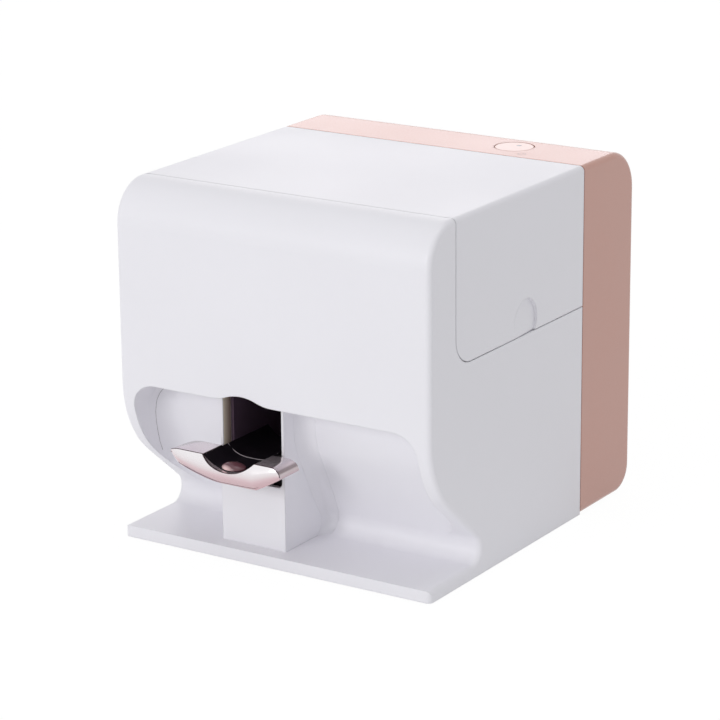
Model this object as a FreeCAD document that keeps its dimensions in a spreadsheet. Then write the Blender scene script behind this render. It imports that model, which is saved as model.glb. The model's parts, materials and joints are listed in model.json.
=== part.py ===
"""Digital nail art printer: a parametric FreeCAD model of its housing and mechanism.

The printer stands on four rubber feet.  A finger goes into the port of the finger column and rests on
the sprung tray, a camera looks down at the nail through a window in the tunnel, and an inkjet cartridge
is carried over that window by an X carriage that rides on a Y stage.  The L-shaped top cover swings up
on two pins along its left edge so that the cartridge can be changed.

All sizes are in millimetres.  X runs to the right, Y to the back and Z up.  While a piece is drawn, Y is
measured from the front plane of the housing; Dims.OriginY then moves every piece back so that the origin
lies under the middle of the whole printer, on the surface it stands on.
"""

import FreeCAD
import Part
import Sketcher
import math
import os

DIMENSIONS = (
    ("ShellWidth", 190.2, "width of the body"),
    ("ShellDepth", 210.5, "depth of the body, front plane to back"),
    ("ShellTop", 194.5, "height of the top face"),
    ("ShellBottom", 1.5, "height of the under side, on its feet"),
    ("Wall", 3.0, "moulded wall thickness"),
    ("OriginY", 97.75, "front plane to the middle of the footprint"),
    ("EdgeRound", 3.0, "rounding along the long side edges"),
    ("FrontRound", 22.0, "roll-over from front to top"),
    ("RearRound", 22.5, "roll-over at the upper back"),
    ("RearFootRound", 14.0, "roll-over at the lower back"),
    ("SeamY", 24.4, "front seam of the cover"),
    ("JointY", 154.8, "joint between housing and rear shell"),
    ("SeamGap", 0.5, "visible gap along the seams"),
    ("SillZ", 118.7, "lower edge of the cover's side"),
    ("SillRound", 14.0, "lower front corner of the cover's side"),
    ("PlateTop", 8.0, "top of the thin base plate"),
    ("ThroatKneeZ", 61.0, "where the throat would leave the front plane with no rounding"),
    ("ThroatKneeRound", 56.0, "rounding from front plane to throat"),
    ("NeckVertexY", 63.1, "where the throat would meet the base plate with no cove"),
    ("NeckRound", 8.0, "cove between throat and base plate"),
    ("RecessHalf", 87.4, "half width of the front recess"),
    ("RecessTop", 87.9, "height of the recess's ceiling"),
    ("DeckZ", 90.0, "inner floor over the recess"),
    ("RecessCorner", 14.0, "rounding of the recess's upper corners"),
    ("RecessSide", 13.0, "rounding where its back wall meets its sides"),
    ("RecessBackY", 26.0, "depth of its back wall"),
    ("RecessKneeZ", 64.5, "height at which the back wall starts to slope"),
    ("RecessKneeRound", 40.0, "rounding of that knee"),
    ("RecessFootY", 48.27, "foot of the slope, on the cove"),
    ("RecessFootZ", 19.56, "height of that foot"),
    ("ArchX", -18.4, "middle of the arched lower edge of the front panel"),
    ("ArchTangentX", 14.095, "where the arch would start with no rounding"),
    ("ArchApexRise", 5.21, "unrounded rise of the arch"),
    ("ArchRound", 26.5, "radius of the arch's curves"),
    ("ColumnX", -17.8, "middle of finger column, tray and tunnel"),
    ("ColumnHalf", 19.75, "half width of the column"),
    ("ColumnFrontY", 9.0, "front plane of the column"),
    ("PortHalf", 18.25, "half width of the finger port"),
    ("PortBottom", 42.5, "lower edge of the finger port"),
    ("PortRound", 3.0, "lower corners of the finger port"),
    ("LinerHalf", 17.9, "half width of the tunnel liner"),
    ("LinerWall", 1.6, "wall of the tunnel liner"),
    ("TrayFront", -15.8, "front of the finger tray's roll"),
    ("TrayRear", 5.0, "rear edge of its wings"),
    ("TrayLeft", 34.5, "reach of the left wing"),
    ("TrayRight", 31.5, "reach of the right wing"),
    ("TrayTop", 61.8, "height of the wings"),
    ("WingRound", 3.0, "roll along the wings' upper edges"),
    ("WingSlope", 6.2, "how far the right wing's top stops short of its end"),
    ("TrayUnder", 47.4, "underside of the tray's middle"),
    ("TroughFront", -12.0, "front end of the glossy trough"),
    ("TrayFloor", 55.6, "floor of the finger channel"),
    ("ChannelHalf", 16.2, "half width of the channel at its top"),
    ("TrayTravel", 8.0, "how far a finger can press the tray down"),
    ("PostHalf", 10.0, "half distance of the tray's guide posts"),
    ("PostY", 20.0, "guide posts behind the front plane"),
    ("PostRadius", 2.0, "guide post radius"),
    ("HingePin", 1.25, "cover pin radius"),
    ("PinPlay", 0.08, "running clearance of pins and bushings"),
    ("ScoopY", 94.0, "middle of the thumb scoop"),
    ("ScoopZ", 125.7, "middle of the thumb scoop"),
    ("ScoopRadius", 11.5, "radius of the thumb scoop"),
    ("ButtonX", 40.9, "middle of the power button"),
    ("ButtonY", 175.2, "middle of the power button"),
    ("ButtonRadius", 10.7, "radius of the power button"),
    ("ButtonGap", 0.3, "gap round the power button"),
    ("SheetMetal", 1.5, "thickness of the chassis sheet"),
    ("RodRadius", 3.0, "guide rods"),
    ("BushRadius", 4.5, "outside of the rods' bushings"),
    ("RodX", 84.5, "Y guide rods left and right"),
    ("RodZ", 100.0, "height of the Y guide rods"),
    ("StageFront", 104.0, "front of the Y stage at rest"),
    ("StageRear", 136.0, "back of the Y stage at rest"),
    ("StageHalf", 79.0, "half width of the Y stage"),
    ("StageWall", 2.0, "rear plate of the Y stage"),
    ("CrossY", 114.0, "X guide rods at rest"),
    ("CrossLowZ", 99.0, "lower X guide rod"),
    ("CrossHighZ", 129.0, "upper X guide rod"),
    ("PulleyX", 63.0, "belt pulleys left and right"),
    ("PulleyZ", 112.0, "height of the belt pulleys"),
    ("BeltInner", 8.0, "inner radius of the belt's bends"),
    ("BeltThick", 1.4, "thickness of the belt"),
    ("ParkX", 46.0, "carriage at its parking place"),
    ("ScrewX", -70.0, "lead screw"),
    ("ScrewZ", 92.0, "lead screw height"),
)


class Size(float):
    """A length that remembers how the sheet computes it, so that it can be bound as an expression."""

    def __new__(cls, value, text=None):
        size = float.__new__(cls, value)
        size.text = text if text is not None else "{:.6g}".format(float(value))
        return size

    @property
    def bound(self):
        return "Dims." in self.text

    def _join(self, sign, other, value, swap=False):
        theirs = other.text if isinstance(other, Size) else "{:.6g}".format(float(other))
        pair = (theirs, self.text) if swap else (self.text, theirs)
        return Size(value, "({} {} {})".format(pair[0], sign, pair[1]))

    def __add__(self, other):
        return self._join("+", other, float(self) + float(other))

    def __radd__(self, other):
        return self._join("+", other, float(other) + float(self), swap=True)

    def __sub__(self, other):
        return self._join("-", other, float(self) - float(other))

    def __rsub__(self, other):
        return self._join("-", other, float(other) - float(self), swap=True)

    def __mul__(self, other):
        return self._join("*", other, float(self) * float(other))

    def __rmul__(self, other):
        return self._join("*", other, float(other) * float(self), swap=True)

    def __truediv__(self, other):
        return self._join("/", other, float(self) / float(other))

    def __neg__(self):
        return Size(-float(self), "(-1 * {})".format(self.text))


class Sheet:
    """The driving dimensions: a spreadsheet in the document, read back as bound sizes."""

    def __init__(self, document, table):
        self.cells = document.addObject("Spreadsheet::Sheet", "Dims")
        for row, (alias, value, note) in enumerate(table, start=1):
            self.cells.set("A{}".format(row), note)
            self.cells.set("B{}".format(row), "{:g}".format(value))
            self.cells.setAlias("B{}".format(row), alias)
            setattr(self, alias, Size(value, "Dims." + alias))


DOC = FreeCAD.newDocument("NailArtPrinter")
D = Sheet(DOC, DIMENSIONS)
DOC.recompute()
NODES = []

# sizes that several pieces share
HALF = D.ShellWidth / 2
INNER = HALF - D.Wall
CEILING = D.ShellTop - D.Wall
FLOOR = D.ShellBottom + D.Wall
HOUSING_END = D.JointY - D.SeamGap
COVER_FRONT = D.SeamY + D.SeamGap
HINGE_X = -INNER
HINGE_Z = D.ShellTop - D.EdgeRound
CX = D.ColumnX

# each axis: the origin plane it is normal to, and whether that plane's normal runs along the axis
PLANES = {"X": ("YZ_Plane", 1), "Y": ("XZ_Plane", -1), "Z": ("XY_Plane", 1)}
TURNS = {
    "X": FreeCAD.Rotation(FreeCAD.Vector(0, 1, 0), 90),
    "Y": FreeCAD.Rotation(FreeCAD.Vector(1, 0, 0), -90),
    "Z": FreeCAD.Rotation(),
}


def bind(item, path, value):
    """Bind a property to the sheet when its value comes from there."""
    if isinstance(value, Size) and value.bound:
        item.setExpression(path, value.text)


# ---------------------------------------------------------------- sketches

def corner_data(corners):
    """Each corner's point, its rounding, and where the rounding starts and ends."""
    data = []
    count = len(corners)
    for i, corner in enumerate(corners):
        here = FreeCAD.Vector(float(corner[0]), float(corner[1]), 0)
        before = FreeCAD.Vector(float(corners[i - 1][0]), float(corners[i - 1][1]), 0) - here
        after_corner = corners[(i + 1) % count]
        after = FreeCAD.Vector(float(after_corner[0]), float(after_corner[1]), 0) - here
        radius = float(corner[2]) if len(corner) > 2 else 0.0
        item = {"at": here, "radius": radius, "start": here, "end": here}
        if radius:
            before.normalize()
            after.normalize()
            half_angle = before.getAngle(after) / 2
            reach = radius / math.tan(half_angle)
            middle = before + after
            middle.normalize()
            item["start"] = here + before * reach
            item["end"] = here + after * reach
            item["centre"] = here + middle * (radius / math.sin(half_angle))
            item["left"] = before.cross(after).z < 0
        data.append(item)
    return data


def draw_outline(sketch, corners):
    """Draw a closed outline of (u, v) or (u, v, rounding) corners, fully constrained."""
    data = corner_data(corners)
    count = len(data)
    first = sketch.GeometryCount
    lines = [Part.LineSegment(data[i]["end"], data[(i + 1) % count]["start"]) for i in range(count)]
    sketch.addGeometry(lines, False)
    rules = []
    bindings = []

    def rule(kind, *values, size=None):
        if size is not None:
            bindings.append((sketch.ConstraintCount + len(rules), size))
            values = values + (float(size),)
        rules.append(Sketcher.Constraint(kind, *values))

    for i, (item, corner) in enumerate(zip(data, corners)):
        arriving = first + (i - 1) % count
        leaving = first + i
        if item["radius"]:
            centre = item["centre"]
            ends = (item["start"], item["end"]) if item["left"] else (item["end"], item["start"])
            angles = [math.atan2(p.y - centre.y, p.x - centre.x) for p in ends]
            circle = Part.Circle(centre, FreeCAD.Vector(0, 0, 1), item["radius"])
            arc = sketch.addGeometry(Part.ArcOfCircle(circle, angles[0], angles[1]), False)
            vertex = sketch.addGeometry(Part.Point(item["at"]), True)
            near, far = (1, 2) if item["left"] else (2, 1)
            rule("Tangent", arriving, 2, arc, near)
            rule("Tangent", arc, far, leaving, 1)
            rule("Radius", arc, size=corner[2])
            rule("PointOnObject", vertex, 1, arriving)
            rule("PointOnObject", vertex, 1, leaving)
            rule("DistanceX", -1, 1, vertex, 1, size=corner[0])
            rule("DistanceY", -1, 1, vertex, 1, size=corner[1])
        else:
            rule("Coincident", arriving, 2, leaving, 1)
            rule("DistanceX", -1, 1, leaving, 1, size=corner[0])
            rule("DistanceY", -1, 1, leaving, 1, size=corner[1])
    sketch.addConstraint(rules)
    for index, size in bindings:
        bind(sketch, "Constraints[{}]".format(index), size)


def draw_circle(sketch, u, v, radius):
    """Draw a circle held by its centre and radius."""
    centre = FreeCAD.Vector(float(u), float(v), 0)
    ring = sketch.addGeometry(Part.Circle(centre, FreeCAD.Vector(0, 0, 1), float(radius)), False)
    for kind, values, size in (("DistanceX", (-1, 1, ring, 3), u), ("DistanceY", (-1, 1, ring, 3), v),
                               ("Radius", (ring,), radius)):
        index = sketch.addConstraint(Sketcher.Constraint(kind, *values, float(size)))
        bind(sketch, "Constraints[{}]".format(index), size)


def sketch_across(body, name, axis, level, outlines=(), circles=()):
    """A sketch on the body's own origin plane across an axis, moved along the axis to a level."""
    role, sign = PLANES[axis]
    sketch = body.newObject("Sketcher::SketchObject", name + "Sketch")
    plane = [feature for feature in body.Origin.OriginFeatures if feature.Role == role][0]
    sketch.AttachmentSupport = [(plane, "")]
    sketch.MapMode = "FlatFace"
    offset = level * sign
    sketch.AttachmentOffset = FreeCAD.Placement(FreeCAD.Vector(0, 0, float(offset)), FreeCAD.Rotation())
    bind(sketch, "AttachmentOffset.Base.z", offset)
    for corners in outlines:
        draw_outline(sketch, corners)
    for circle in circles:
        draw_circle(sketch, *circle)
    return sketch


# ---------------------------------------------------------------- body features

def new_body(name):
    return DOC.addObject("PartDesign::Body", name)


def extrude(body, kind, name, axis, low, high, outlines, circles):
    sketch = sketch_across(body, name, axis, low, outlines, circles)
    feature = body.newObject("PartDesign::" + kind, name)
    feature.Profile = sketch
    feature.Length = float(high) - float(low)
    bind(feature, "Length", high - low)
    toward_normal = axis != "Y"
    feature.Reversed = toward_normal if kind == "Pocket" else not toward_normal
    return feature


def pad(body, name, axis, low, high, *outlines, circles=()):
    """Add material between two levels of an axis."""
    return extrude(body, "Pad", name, axis, low, high, outlines, circles)


def pocket(body, name, axis, low, high, *outlines, circles=()):
    """Take material away between two levels of an axis."""
    return extrude(body, "Pocket", name, axis, low, high, outlines, circles)


def round_edges(body, name, radius, chosen):
    """Round the edges of the body's last feature whose bounding box is chosen."""
    DOC.recompute()
    base = body.Tip
    edges = ["Edge{}".format(i) for i, edge in enumerate(base.Shape.Edges, start=1) if chosen(edge.BoundBox)]
    feature = body.newObject("PartDesign::Fillet", name)
    feature.Base = (base, edges)
    feature.Radius = float(radius)
    bind(feature, "Radius", radius)
    return feature


def repeat_along(body, name, feature, axis_name, length, count):
    """Repeat a feature along an axis of its own sketch."""
    pattern = body.newObject("PartDesign::LinearPattern", name)
    pattern.Originals = [feature]
    pattern.Direction = (feature.Profile[0], [axis_name])
    pattern.Length = float(length)
    pattern.Occurrences = count
    body.Tip = pattern
    return pattern


def rectangle(u0, u1, v0, v1, *rounding):
    return [(u, v) + rounding for u, v in ((u0, v0), (u1, v0), (u1, v1), (u0, v1))]


def shifted(corners, du, dv=0.0):
    """The same outline, moved."""
    return [(corner[0] + du, corner[1] + dv) + tuple(corner[2:]) for corner in corners]


# ---------------------------------------------------------------- primitives and booleans

def box(name, x0, x1, y0, y1, z0, z1):
    item = DOC.addObject("Part::Box", name)
    for path, low, high in (("Length", x0, x1), ("Width", y0, y1), ("Height", z0, z1)):
        setattr(item, path, float(high) - float(low))
        bind(item, path, high - low)
    return placed(item, (x0, y0, z0), FreeCAD.Rotation())


def placed(item, at, turn):
    item.Placement = FreeCAD.Placement(FreeCAD.Vector(*[float(v) for v in at]), turn)
    for letter, value in zip("xyz", at):
        bind(item, "Placement.Base." + letter, value)
    return item


def along(axis, u, v, low):
    """The point at (u, v) across an axis and at a level of it."""
    return {"X": (low, u, v), "Y": (u, low, v), "Z": (u, v, low)}[axis]


def rod(name, axis, u, v, radius, low, high):
    """A cylinder along an axis; u and v are its other two coordinates in order."""
    item = DOC.addObject("Part::Cylinder", name)
    item.Radius = float(radius)
    item.Height = float(high) - float(low)
    bind(item, "Radius", radius)
    bind(item, "Height", high - low)
    return placed(item, along(axis, u, v, low), TURNS[axis])


def taper(name, axis, u, v, low_radius, high_radius, low, high):
    item = DOC.addObject("Part::Cone", name)
    item.Radius1 = float(low_radius)
    item.Radius2 = float(high_radius)
    item.Height = float(high) - float(low)
    bind(item, "Height", high - low)
    return placed(item, along(axis, u, v, low), TURNS[axis])


def fuse(name, *parts):
    item = DOC.addObject("Part::MultiFuse", name)
    item.Shapes = list(parts)
    item.Refine = True
    return item


def cut(name, base, *tools):
    """Take the tools away one after another."""
    item = base
    for i, tool in enumerate(tools):
        step = DOC.addObject("Part::Cut", name if i == 0 else "{}{}".format(name, i + 1))
        step.Base = item
        step.Tool = tool
        step.Refine = True
        item = step
    return item


def common(name, *parts):
    item = DOC.addObject("Part::MultiCommon", name)
    item.Shapes = list(parts)
    return item


def tube(name, axis, u, v, outer, inner, low, high):
    return cut(name, rod(name + "Outer", axis, u, v, outer, low, high),
               rod(name + "Bore", axis, u, v, inner, low - 1, high + 1))


def node(item, label):
    """Name a finished piece and put it in the printer's own frame."""
    item.Label = label
    old = dict(item.ExpressionEngine).get("Placement.Base.y")
    old = old or dict(item.ExpressionEngine).get(".Placement.Base.y")
    start = item.Placement.Base
    item.Placement = FreeCAD.Placement(start - FreeCAD.Vector(0, float(D.OriginY), 0), item.Placement.Rotation)
    text = old if old else "{:.6g}".format(start.y)
    item.setExpression("Placement.Base.y", "{} - {}".format(text, D.OriginY.text))
    NODES.append(item)
    return item


# ---------------------------------------------------------------- white shell

def make_recess_tool():
    """The hollow of the front recess: rounded front outline, sloping back wall with rolled-in ends."""
    depth = new_body("RecessDepth")
    pad(depth, "RecessDepthPad", "X", -D.RecessHalf, D.RecessHalf,
        [(-5, 95), (-5, D.RecessFootZ), (D.RecessFootY, D.RecessFootZ),
         (D.RecessBackY, D.RecessKneeZ, D.RecessKneeRound), (D.RecessBackY, 95)])
    side = float(D.RecessHalf)
    round_edges(depth, "RecessSideRound", D.RecessSide,
                lambda b: abs(abs(b.XMin) - side) < 0.01 and b.XLength < 0.01 and b.YMin > 25.9)
    # the outline's upper edge rises in a shallow arch over the finger port, where the tunnel's window is behind it
    front = new_body("RecessFront")
    pad(front, "RecessFrontPad", "Y", -6, 60,
        [(-D.RecessHalf, 5), (D.RecessHalf, 5), (D.RecessHalf, D.RecessTop, D.RecessCorner),
         (D.ArchX + D.ArchTangentX, D.RecessTop, D.ArchRound),
         (D.ArchX, D.RecessTop + D.ArchApexRise, D.ArchRound),
         (D.ArchX - D.ArchTangentX, D.RecessTop, D.ArchRound),
         (-D.RecessHalf, D.RecessTop, D.RecessCorner)])
    return common("RecessTool", depth, front)


def make_main_housing():
    """Front panel, throat, left wall, lower right wall and base plate in one moulding."""
    body = new_body("HousingBody")
    pad(body, "SideProfile", "X", -HALF, HALF,
        [(HOUSING_END, D.ShellTop), (0, D.ShellTop, D.FrontRound),
         (0, D.ThroatKneeZ, D.ThroatKneeRound), (D.NeckVertexY, D.PlateTop, D.NeckRound),
         (0, D.PlateTop), (0, D.ShellBottom), (HOUSING_END, D.ShellBottom)])
    half = float(HALF)
    rear = float(HOUSING_END) - 0.01
    round_edges(body, "SideEdges", D.EdgeRound,
                lambda b: abs(abs(b.XMin) - half) < 0.01 and b.XLength < 0.01 and b.YMin < rear and b.ZMax > 1.6)
    pocket(body, "Cavity", "X", -INNER, INNER,
           [(D.Wall, CEILING, D.FrontRound - D.Wall), (D.Wall, D.DeckZ), (29, D.DeckZ),
            (29, 65.3, 37), (53.6, 17.5, 8), (53.6, FLOOR), (160, FLOOR),
            (160, CEILING)])
    # the opening that the cover closes: the whole top, and the right side down to the sill
    pocket(body, "TopOpening", "Y", D.SeamY, 160,
           rectangle(-HALF - 1, HALF + 1, HINGE_Z - 1.5, D.ShellTop + 1))
    pocket(body, "SideOpening", "X", INNER - 0.5, HALF + 1,
           [(D.SeamY, D.ShellTop + 2), (D.SeamY, D.SillZ - D.SeamGap, D.SillRound + D.SeamGap),
            (160, D.SillZ - D.SeamGap), (160, D.ShellTop + 2)])
    # ledges that back the cover's seams
    pad(body, "TopLedge", "X", -84, INNER - D.ButtonGap,
        [(18.5, 188.3), (27.5, 188.3), (27.5, 191.3), (D.SeamY, 191.3), (D.SeamY, 192.4), (18.5, 192.4)])
    pad(body, "SideLedge", "X", 88, INNER - D.ButtonGap,
        [(18.5, 190), (18.5, 112), (150, 112), (150, 119.8), (28.5, 119.8, 17), (28.5, 190)])
    pad(body, "SideLedgeRoot", "X", 90, INNER + 0.5,
        [(18.5, 190), (18.5, 112), (150, 112), (150, D.SillZ - D.SeamGap),
         (D.SeamY, D.SillZ - D.SeamGap), (D.SeamY, 190)])
    # boss for the front hinge pin, bosses for the catch plates, posts and pads for the chassis
    pad(body, "HingeBoss", "Y", 15, D.SeamY, rectangle(-INNER - 1, -85, 185, 192.5))
    pad(body, "CatchBosses", "Z", 110, D.SillZ - D.SeamGap,
        rectangle(82.5, INNER + 0.5, 45.5, 55.5), rectangle(82.5, INNER + 0.5, 130.5, 139.5))
    pad(body, "ChassisPosts", "Z", D.ShellBottom + 1, 76, circles=[(-82, 140, 4.5), (82, 140, 4.5)])
    pad(body, "ChassisPads", "Z", D.DeckZ - 1, 91, circles=[(-80, 12, 4), (80, 12, 4)])
    pad(body, "CoverPlateBosses", "Z", D.ShellBottom + 1, 12,
        circles=[(x, y, 4) for y in (61, 145.5) for x in (-80, 80)])
    pocket(body, "BottomOpening", "Z", D.ShellBottom - 1, FLOOR + 0.01, rectangle(-76, 76, 66, 140, 4))
    pocket(body, "BottomRebate", "Z", D.ShellBottom - 1, 3.0, rectangle(-84, 84, 58, 150, 3))
    pocket(body, "PlateScrewHoles", "Z", 2, 11,
           circles=[(x, y, 1.45) for y in (61, 145.5) for x in (-80, 80)])
    pocket(body, "PostHoles", "Z", 66, 77, circles=[(-82, 140, 1.5), (82, 140, 1.5)])
    pocket(body, "PadHoles", "Z", 88.2, 92, circles=[(-80, 12, 1.5), (80, 12, 1.5)])
    pocket(body, "PinHole", "Y", 17, D.SeamY + 1, circles=[(HINGE_X, HINGE_Z, D.HingePin)])
    window = box("TunnelWindow", CX - D.PortHalf, CX + D.PortHalf, D.Wall, 60, D.PortBottom, 95)
    groove = rod("HingeGroove", "Y", HINGE_X, HINGE_Z, D.EdgeRound + 0.35, D.SeamY, 160)
    housing = cut("HousingCut", body, make_recess_tool(), window, groove)
    return node(housing, "main_housing")


def make_finger_column():
    """The narrow column that stands in the recess and frames the finger port."""
    body = new_body("ColumnBody")
    play = 0.06
    pad(body, "ColumnSide", "X", CX - D.ColumnHalf, CX + D.ColumnHalf,
        [(D.ColumnFrontY, D.PlateTop), (41, D.PlateTop), (D.RecessFootY - play, D.RecessFootZ, 9),
         (D.RecessBackY - play, D.RecessKneeZ, D.RecessKneeRound),
         (D.RecessBackY - play, D.RecessTop), (D.ColumnFrontY, D.RecessTop)])
    pocket(body, "ColumnHollow", "X", CX - D.PortHalf, CX + D.PortHalf,
           rectangle(D.ColumnFrontY + D.Wall, 60, D.PlateTop + 1.5, 90))
    pocket(body, "FingerPort", "Y", D.ColumnFrontY - 1, D.ColumnFrontY + D.Wall + 1,
           [(CX - D.PortHalf, D.PortBottom, D.PortRound), (CX + D.PortHalf, D.PortBottom, D.PortRound),
            (CX + D.PortHalf, 90), (CX - D.PortHalf, 90)])
    return node(body, "finger_column")


def make_top_cover():
    """The L-shaped cover: top, right side down to the sill, hinge nose along its left edge."""
    body = new_body("CoverBody")
    pad(body, "CoverSection", "Y", COVER_FRONT, HOUSING_END,
        [(HINGE_X, HINGE_Z), (INNER, CEILING), (INNER, D.SillZ), (HALF, D.SillZ),
         (HALF, D.ShellTop, D.EdgeRound), (HINGE_X, D.ShellTop)])
    front = float(COVER_FRONT)
    sill = float(D.SillZ)
    round_edges(body, "SillCorner", D.SillRound,
                lambda b: abs(b.XLength - 3) < 0.01 and abs(b.YMax - front) < 0.01 and abs(b.ZMax - sill) < 0.01)
    rib = [(-80, CEILING + 0.1), (-80, 189), (84, 189, 6), (88, 184, 3), (88, 135), (INNER + 0.2, 132),
           (INNER + 0.2, CEILING + 0.1)]
    first = pad(body, "StiffeningRib", "Y", 122, 124, rib)
    repeat_along(body, "StiffeningRibs", first, "N_Axis", 58, 3)
    pad(body, "MagnetPads", "Z", 120.3, 127, rectangle(82.5, INNER + 0.2, 46, 55),
        rectangle(82.5, INNER + 0.2, 131, 139))
    pad(body, "ScoopBacking", "X", INNER - 2, INNER + 0.2, rectangle(80, 107, 120.5, 140, 4))
    pocket(body, "MagnetSeats", "Z", 120, 123.3, circles=[(85.5, 50.5, 2.2), (85.5, 135, 2.2)])
    nose = rod("HingeNose", "Y", HINGE_X, HINGE_Z, D.EdgeRound, COVER_FRONT, HOUSING_END)
    bore = D.HingePin + D.PinPlay
    front_bore = rod("FrontBore", "Y", HINGE_X, HINGE_Z, bore, D.SeamY, 31.5)
    rear_bore = rod("RearBore", "Y", HINGE_X, HINGE_Z, bore, 147, D.JointY)
    scoop = DOC.addObject("Part::Cylinder", "ThumbScoop")
    scoop.Radius = float(D.ScoopRadius)
    scoop.Height = 12
    bind(scoop, "Radius", D.ScoopRadius)
    tilt = FreeCAD.Rotation(FreeCAD.Vector(0, 0, 1), FreeCAD.Vector(1, 0.0584, 0.0584))
    placed(scoop, (HALF - 0.95, D.ScoopY, D.ScoopZ), tilt)
    return node(cut("CoverCut", fuse("CoverFuse", body, nose), front_bore, rear_bore, scoop), "top_cover")


def make_rear_shell():
    """The rear shell: a deep cap with rolled back edges, locating lip, posts and vents."""
    body = new_body("RearShellBody")
    pad(body, "ShellSection", "X", -HALF, HALF,
        [(D.JointY, D.ShellTop), (D.JointY, D.ShellBottom), (D.ShellDepth, D.ShellBottom, D.RearFootRound),
         (D.ShellDepth, D.ShellTop, D.RearRound)])
    half = float(HALF)
    joint = float(D.JointY) + 0.01
    round_edges(body, "ShellEdges", D.EdgeRound,
                lambda b: abs(abs(b.XMin) - half) < 0.01 and b.XLength < 0.01 and b.YMax > joint
                and (b.ZMin > 1.6 or b.ZLength > 1))
    back = D.ShellDepth - D.Wall
    pocket(body, "ShellHollow", "X", -INNER, INNER,
           [(150, CEILING), (150, FLOOR), (back, FLOOR, D.RearFootRound - D.Wall),
            (back, CEILING, D.RearRound - D.Wall)])
    lip_inner = rectangle(-89.2, 89.2, 6.3, 189.2)
    pad(body, "LipRoot", "Y", D.JointY, 158, rectangle(-INNER - 0.5, INNER + 0.5, 4, 192), lip_inner)
    pad(body, "Lip", "Y", 150.5, D.JointY + 0.5,
        rectangle(-INNER, INNER - 0.3, FLOOR, CEILING - 0.3), lip_inner)
    pocket(body, "LipHingeRelief", "Y", 150, D.JointY, rectangle(-INNER - 1, -84, 184, CEILING + 1))
    pad(body, "RearHingeBoss", "Y", D.JointY, 161, rectangle(-INNER - 1, -85, 185, 192.5))
    pocket(body, "RearPinHole", "Y", D.JointY - 1, 160, circles=[(HINGE_X, HINGE_Z, D.HingePin)])
    pocket(body, "ButtonHole", "Z", 188, D.ShellTop + 1,
           circles=[(D.ButtonX, D.ButtonY, D.ButtonRadius + D.ButtonGap)])
    pad(body, "SwitchPosts", "Z", 182.6, CEILING + 0.5,
        circles=[(D.ButtonX - 16.5, D.ButtonY, 3), (D.ButtonX + 16.5, D.ButtonY, 3)])
    pad(body, "BoardPosts", "Y", 195.6, back + 0.5,
        circles=[(x, z, 3.5) for z in (58, 120) for x in (-55, 55)])
    pocket(body, "BoardPostHoles", "Y", 195, 202, circles=[(x, z, 1.4) for z in (58, 120) for x in (-55, 55)])
    pocket(body, "InletHole", "Y", back - 1, D.ShellDepth + 1, circles=[(60, 38, 5.5)])
    slot = pocket(body, "VentSlot", "Y", back - 1, D.ShellDepth + 1, rectangle(-33.2, -30.8, 140, 160, 1.1))
    repeat_along(body, "VentSlots", slot, "H_Axis", 64, 9)
    return node(body, "rear_shell")


def make_bottom_cover():
    """The plate that closes the housing from below, with a row of vent slots."""
    body = new_body("BottomCoverBody")
    pad(body, "Plate", "Z", D.ShellBottom, 3.0, rectangle(-83.8, 83.8, 58.2, 149.8, 2.8))
    slot = pocket(body, "BottomSlot", "Z", 1, 4, rectangle(-41.5, -38.5, 85, 120, 1.4))
    repeat_along(body, "BottomSlots", slot, "H_Axis", 80, 9)
    cones = [taper("PlateHole{}".format(i), "Z", x, y, 3.0, 1.55, 1.45, 3.05)
             for i, (x, y) in enumerate(((-80, 61), (80, 61), (-80, 145.5), (80, 145.5)))]
    return node(cut("BottomCoverCut", body, *cones), "bottom_cover")


def make_base_screws():
    """Countersunk screws that hold the bottom cover."""
    parts = []
    for i, (x, y) in enumerate(((-80, 61), (80, 61), (-80, 145.5), (80, 145.5))):
        head = taper("PlateScrewHead{}".format(i), "Z", x, y, 2.85, 1.4, 1.6, 3.05)
        shank = rod("PlateScrewShank{}".format(i), "Z", x, y, 1.4, 3, 9.5)
        parts.append(fuse("PlateScrew{}".format(i), head, shank))
    return node(fuse("PlateScrews", *parts), "base_screws")


def make_rubber_feet():
    feet = [taper("Foot{}".format(i), "Z", x, y, 7, 8, 0, D.ShellBottom)
            for i, (x, y) in enumerate(((-78, 16), (78, 16), (-78, 176), (78, 176)))]
    return node(fuse("Feet", *feet), "rubber_feet")


# ---------------------------------------------------------------- button and inlet

def make_power_button():
    """Round push button with a retaining flange and a stem over the switch."""
    body = new_body("ButtonBody")
    profile = [(0, 186.4), (2.5, 186.4), (2.5, 189.9), (D.ButtonRadius + 1.2, 189.9),
               (D.ButtonRadius + 1.2, 191.2), (D.ButtonRadius, 191.2), (D.ButtonRadius, D.ShellTop, 0.5),
               (0, D.ShellTop)]
    sketch = sketch_across(body, "ButtonTurn", "Y", Size(0.0), [profile])
    turn = body.newObject("PartDesign::Revolution", "ButtonTurn")
    turn.Profile = sketch
    turn.ReferenceAxis = (sketch, ["V_Axis"])
    turn.Angle = 360
    placed(body, (D.ButtonX, D.ButtonY, Size(0.0)), FreeCAD.Rotation())
    hole = rod("LensHole", "Z", D.ButtonX + 1, D.ButtonY + 3.4, 1.5, 193, 196)
    return node(cut("ButtonCut", body, hole), "power_button")


def make_status_lens():
    return node(rod("LensRod", "Z", D.ButtonX + 1, D.ButtonY + 3.4, 1.5, 193, D.ShellTop), "status_lens")


def make_switch_board():
    """The small board under the button, hung from the rear shell's two posts."""
    board = box("SwitchPlate", D.ButtonX - 20.5, D.ButtonX + 20.5, 168, 181, 181, 182.6)
    switch = box("SwitchCase", D.ButtonX - 3, D.ButtonX + 3, D.ButtonY - 3, D.ButtonY + 3, 182.6, 184.3)
    plunger = rod("SwitchPlunger", "Z", D.ButtonX, D.ButtonY, 1.7, 184.3, 185.0)
    return node(fuse("SwitchBoardFuse", board, switch, plunger), "switch_board")


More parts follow.
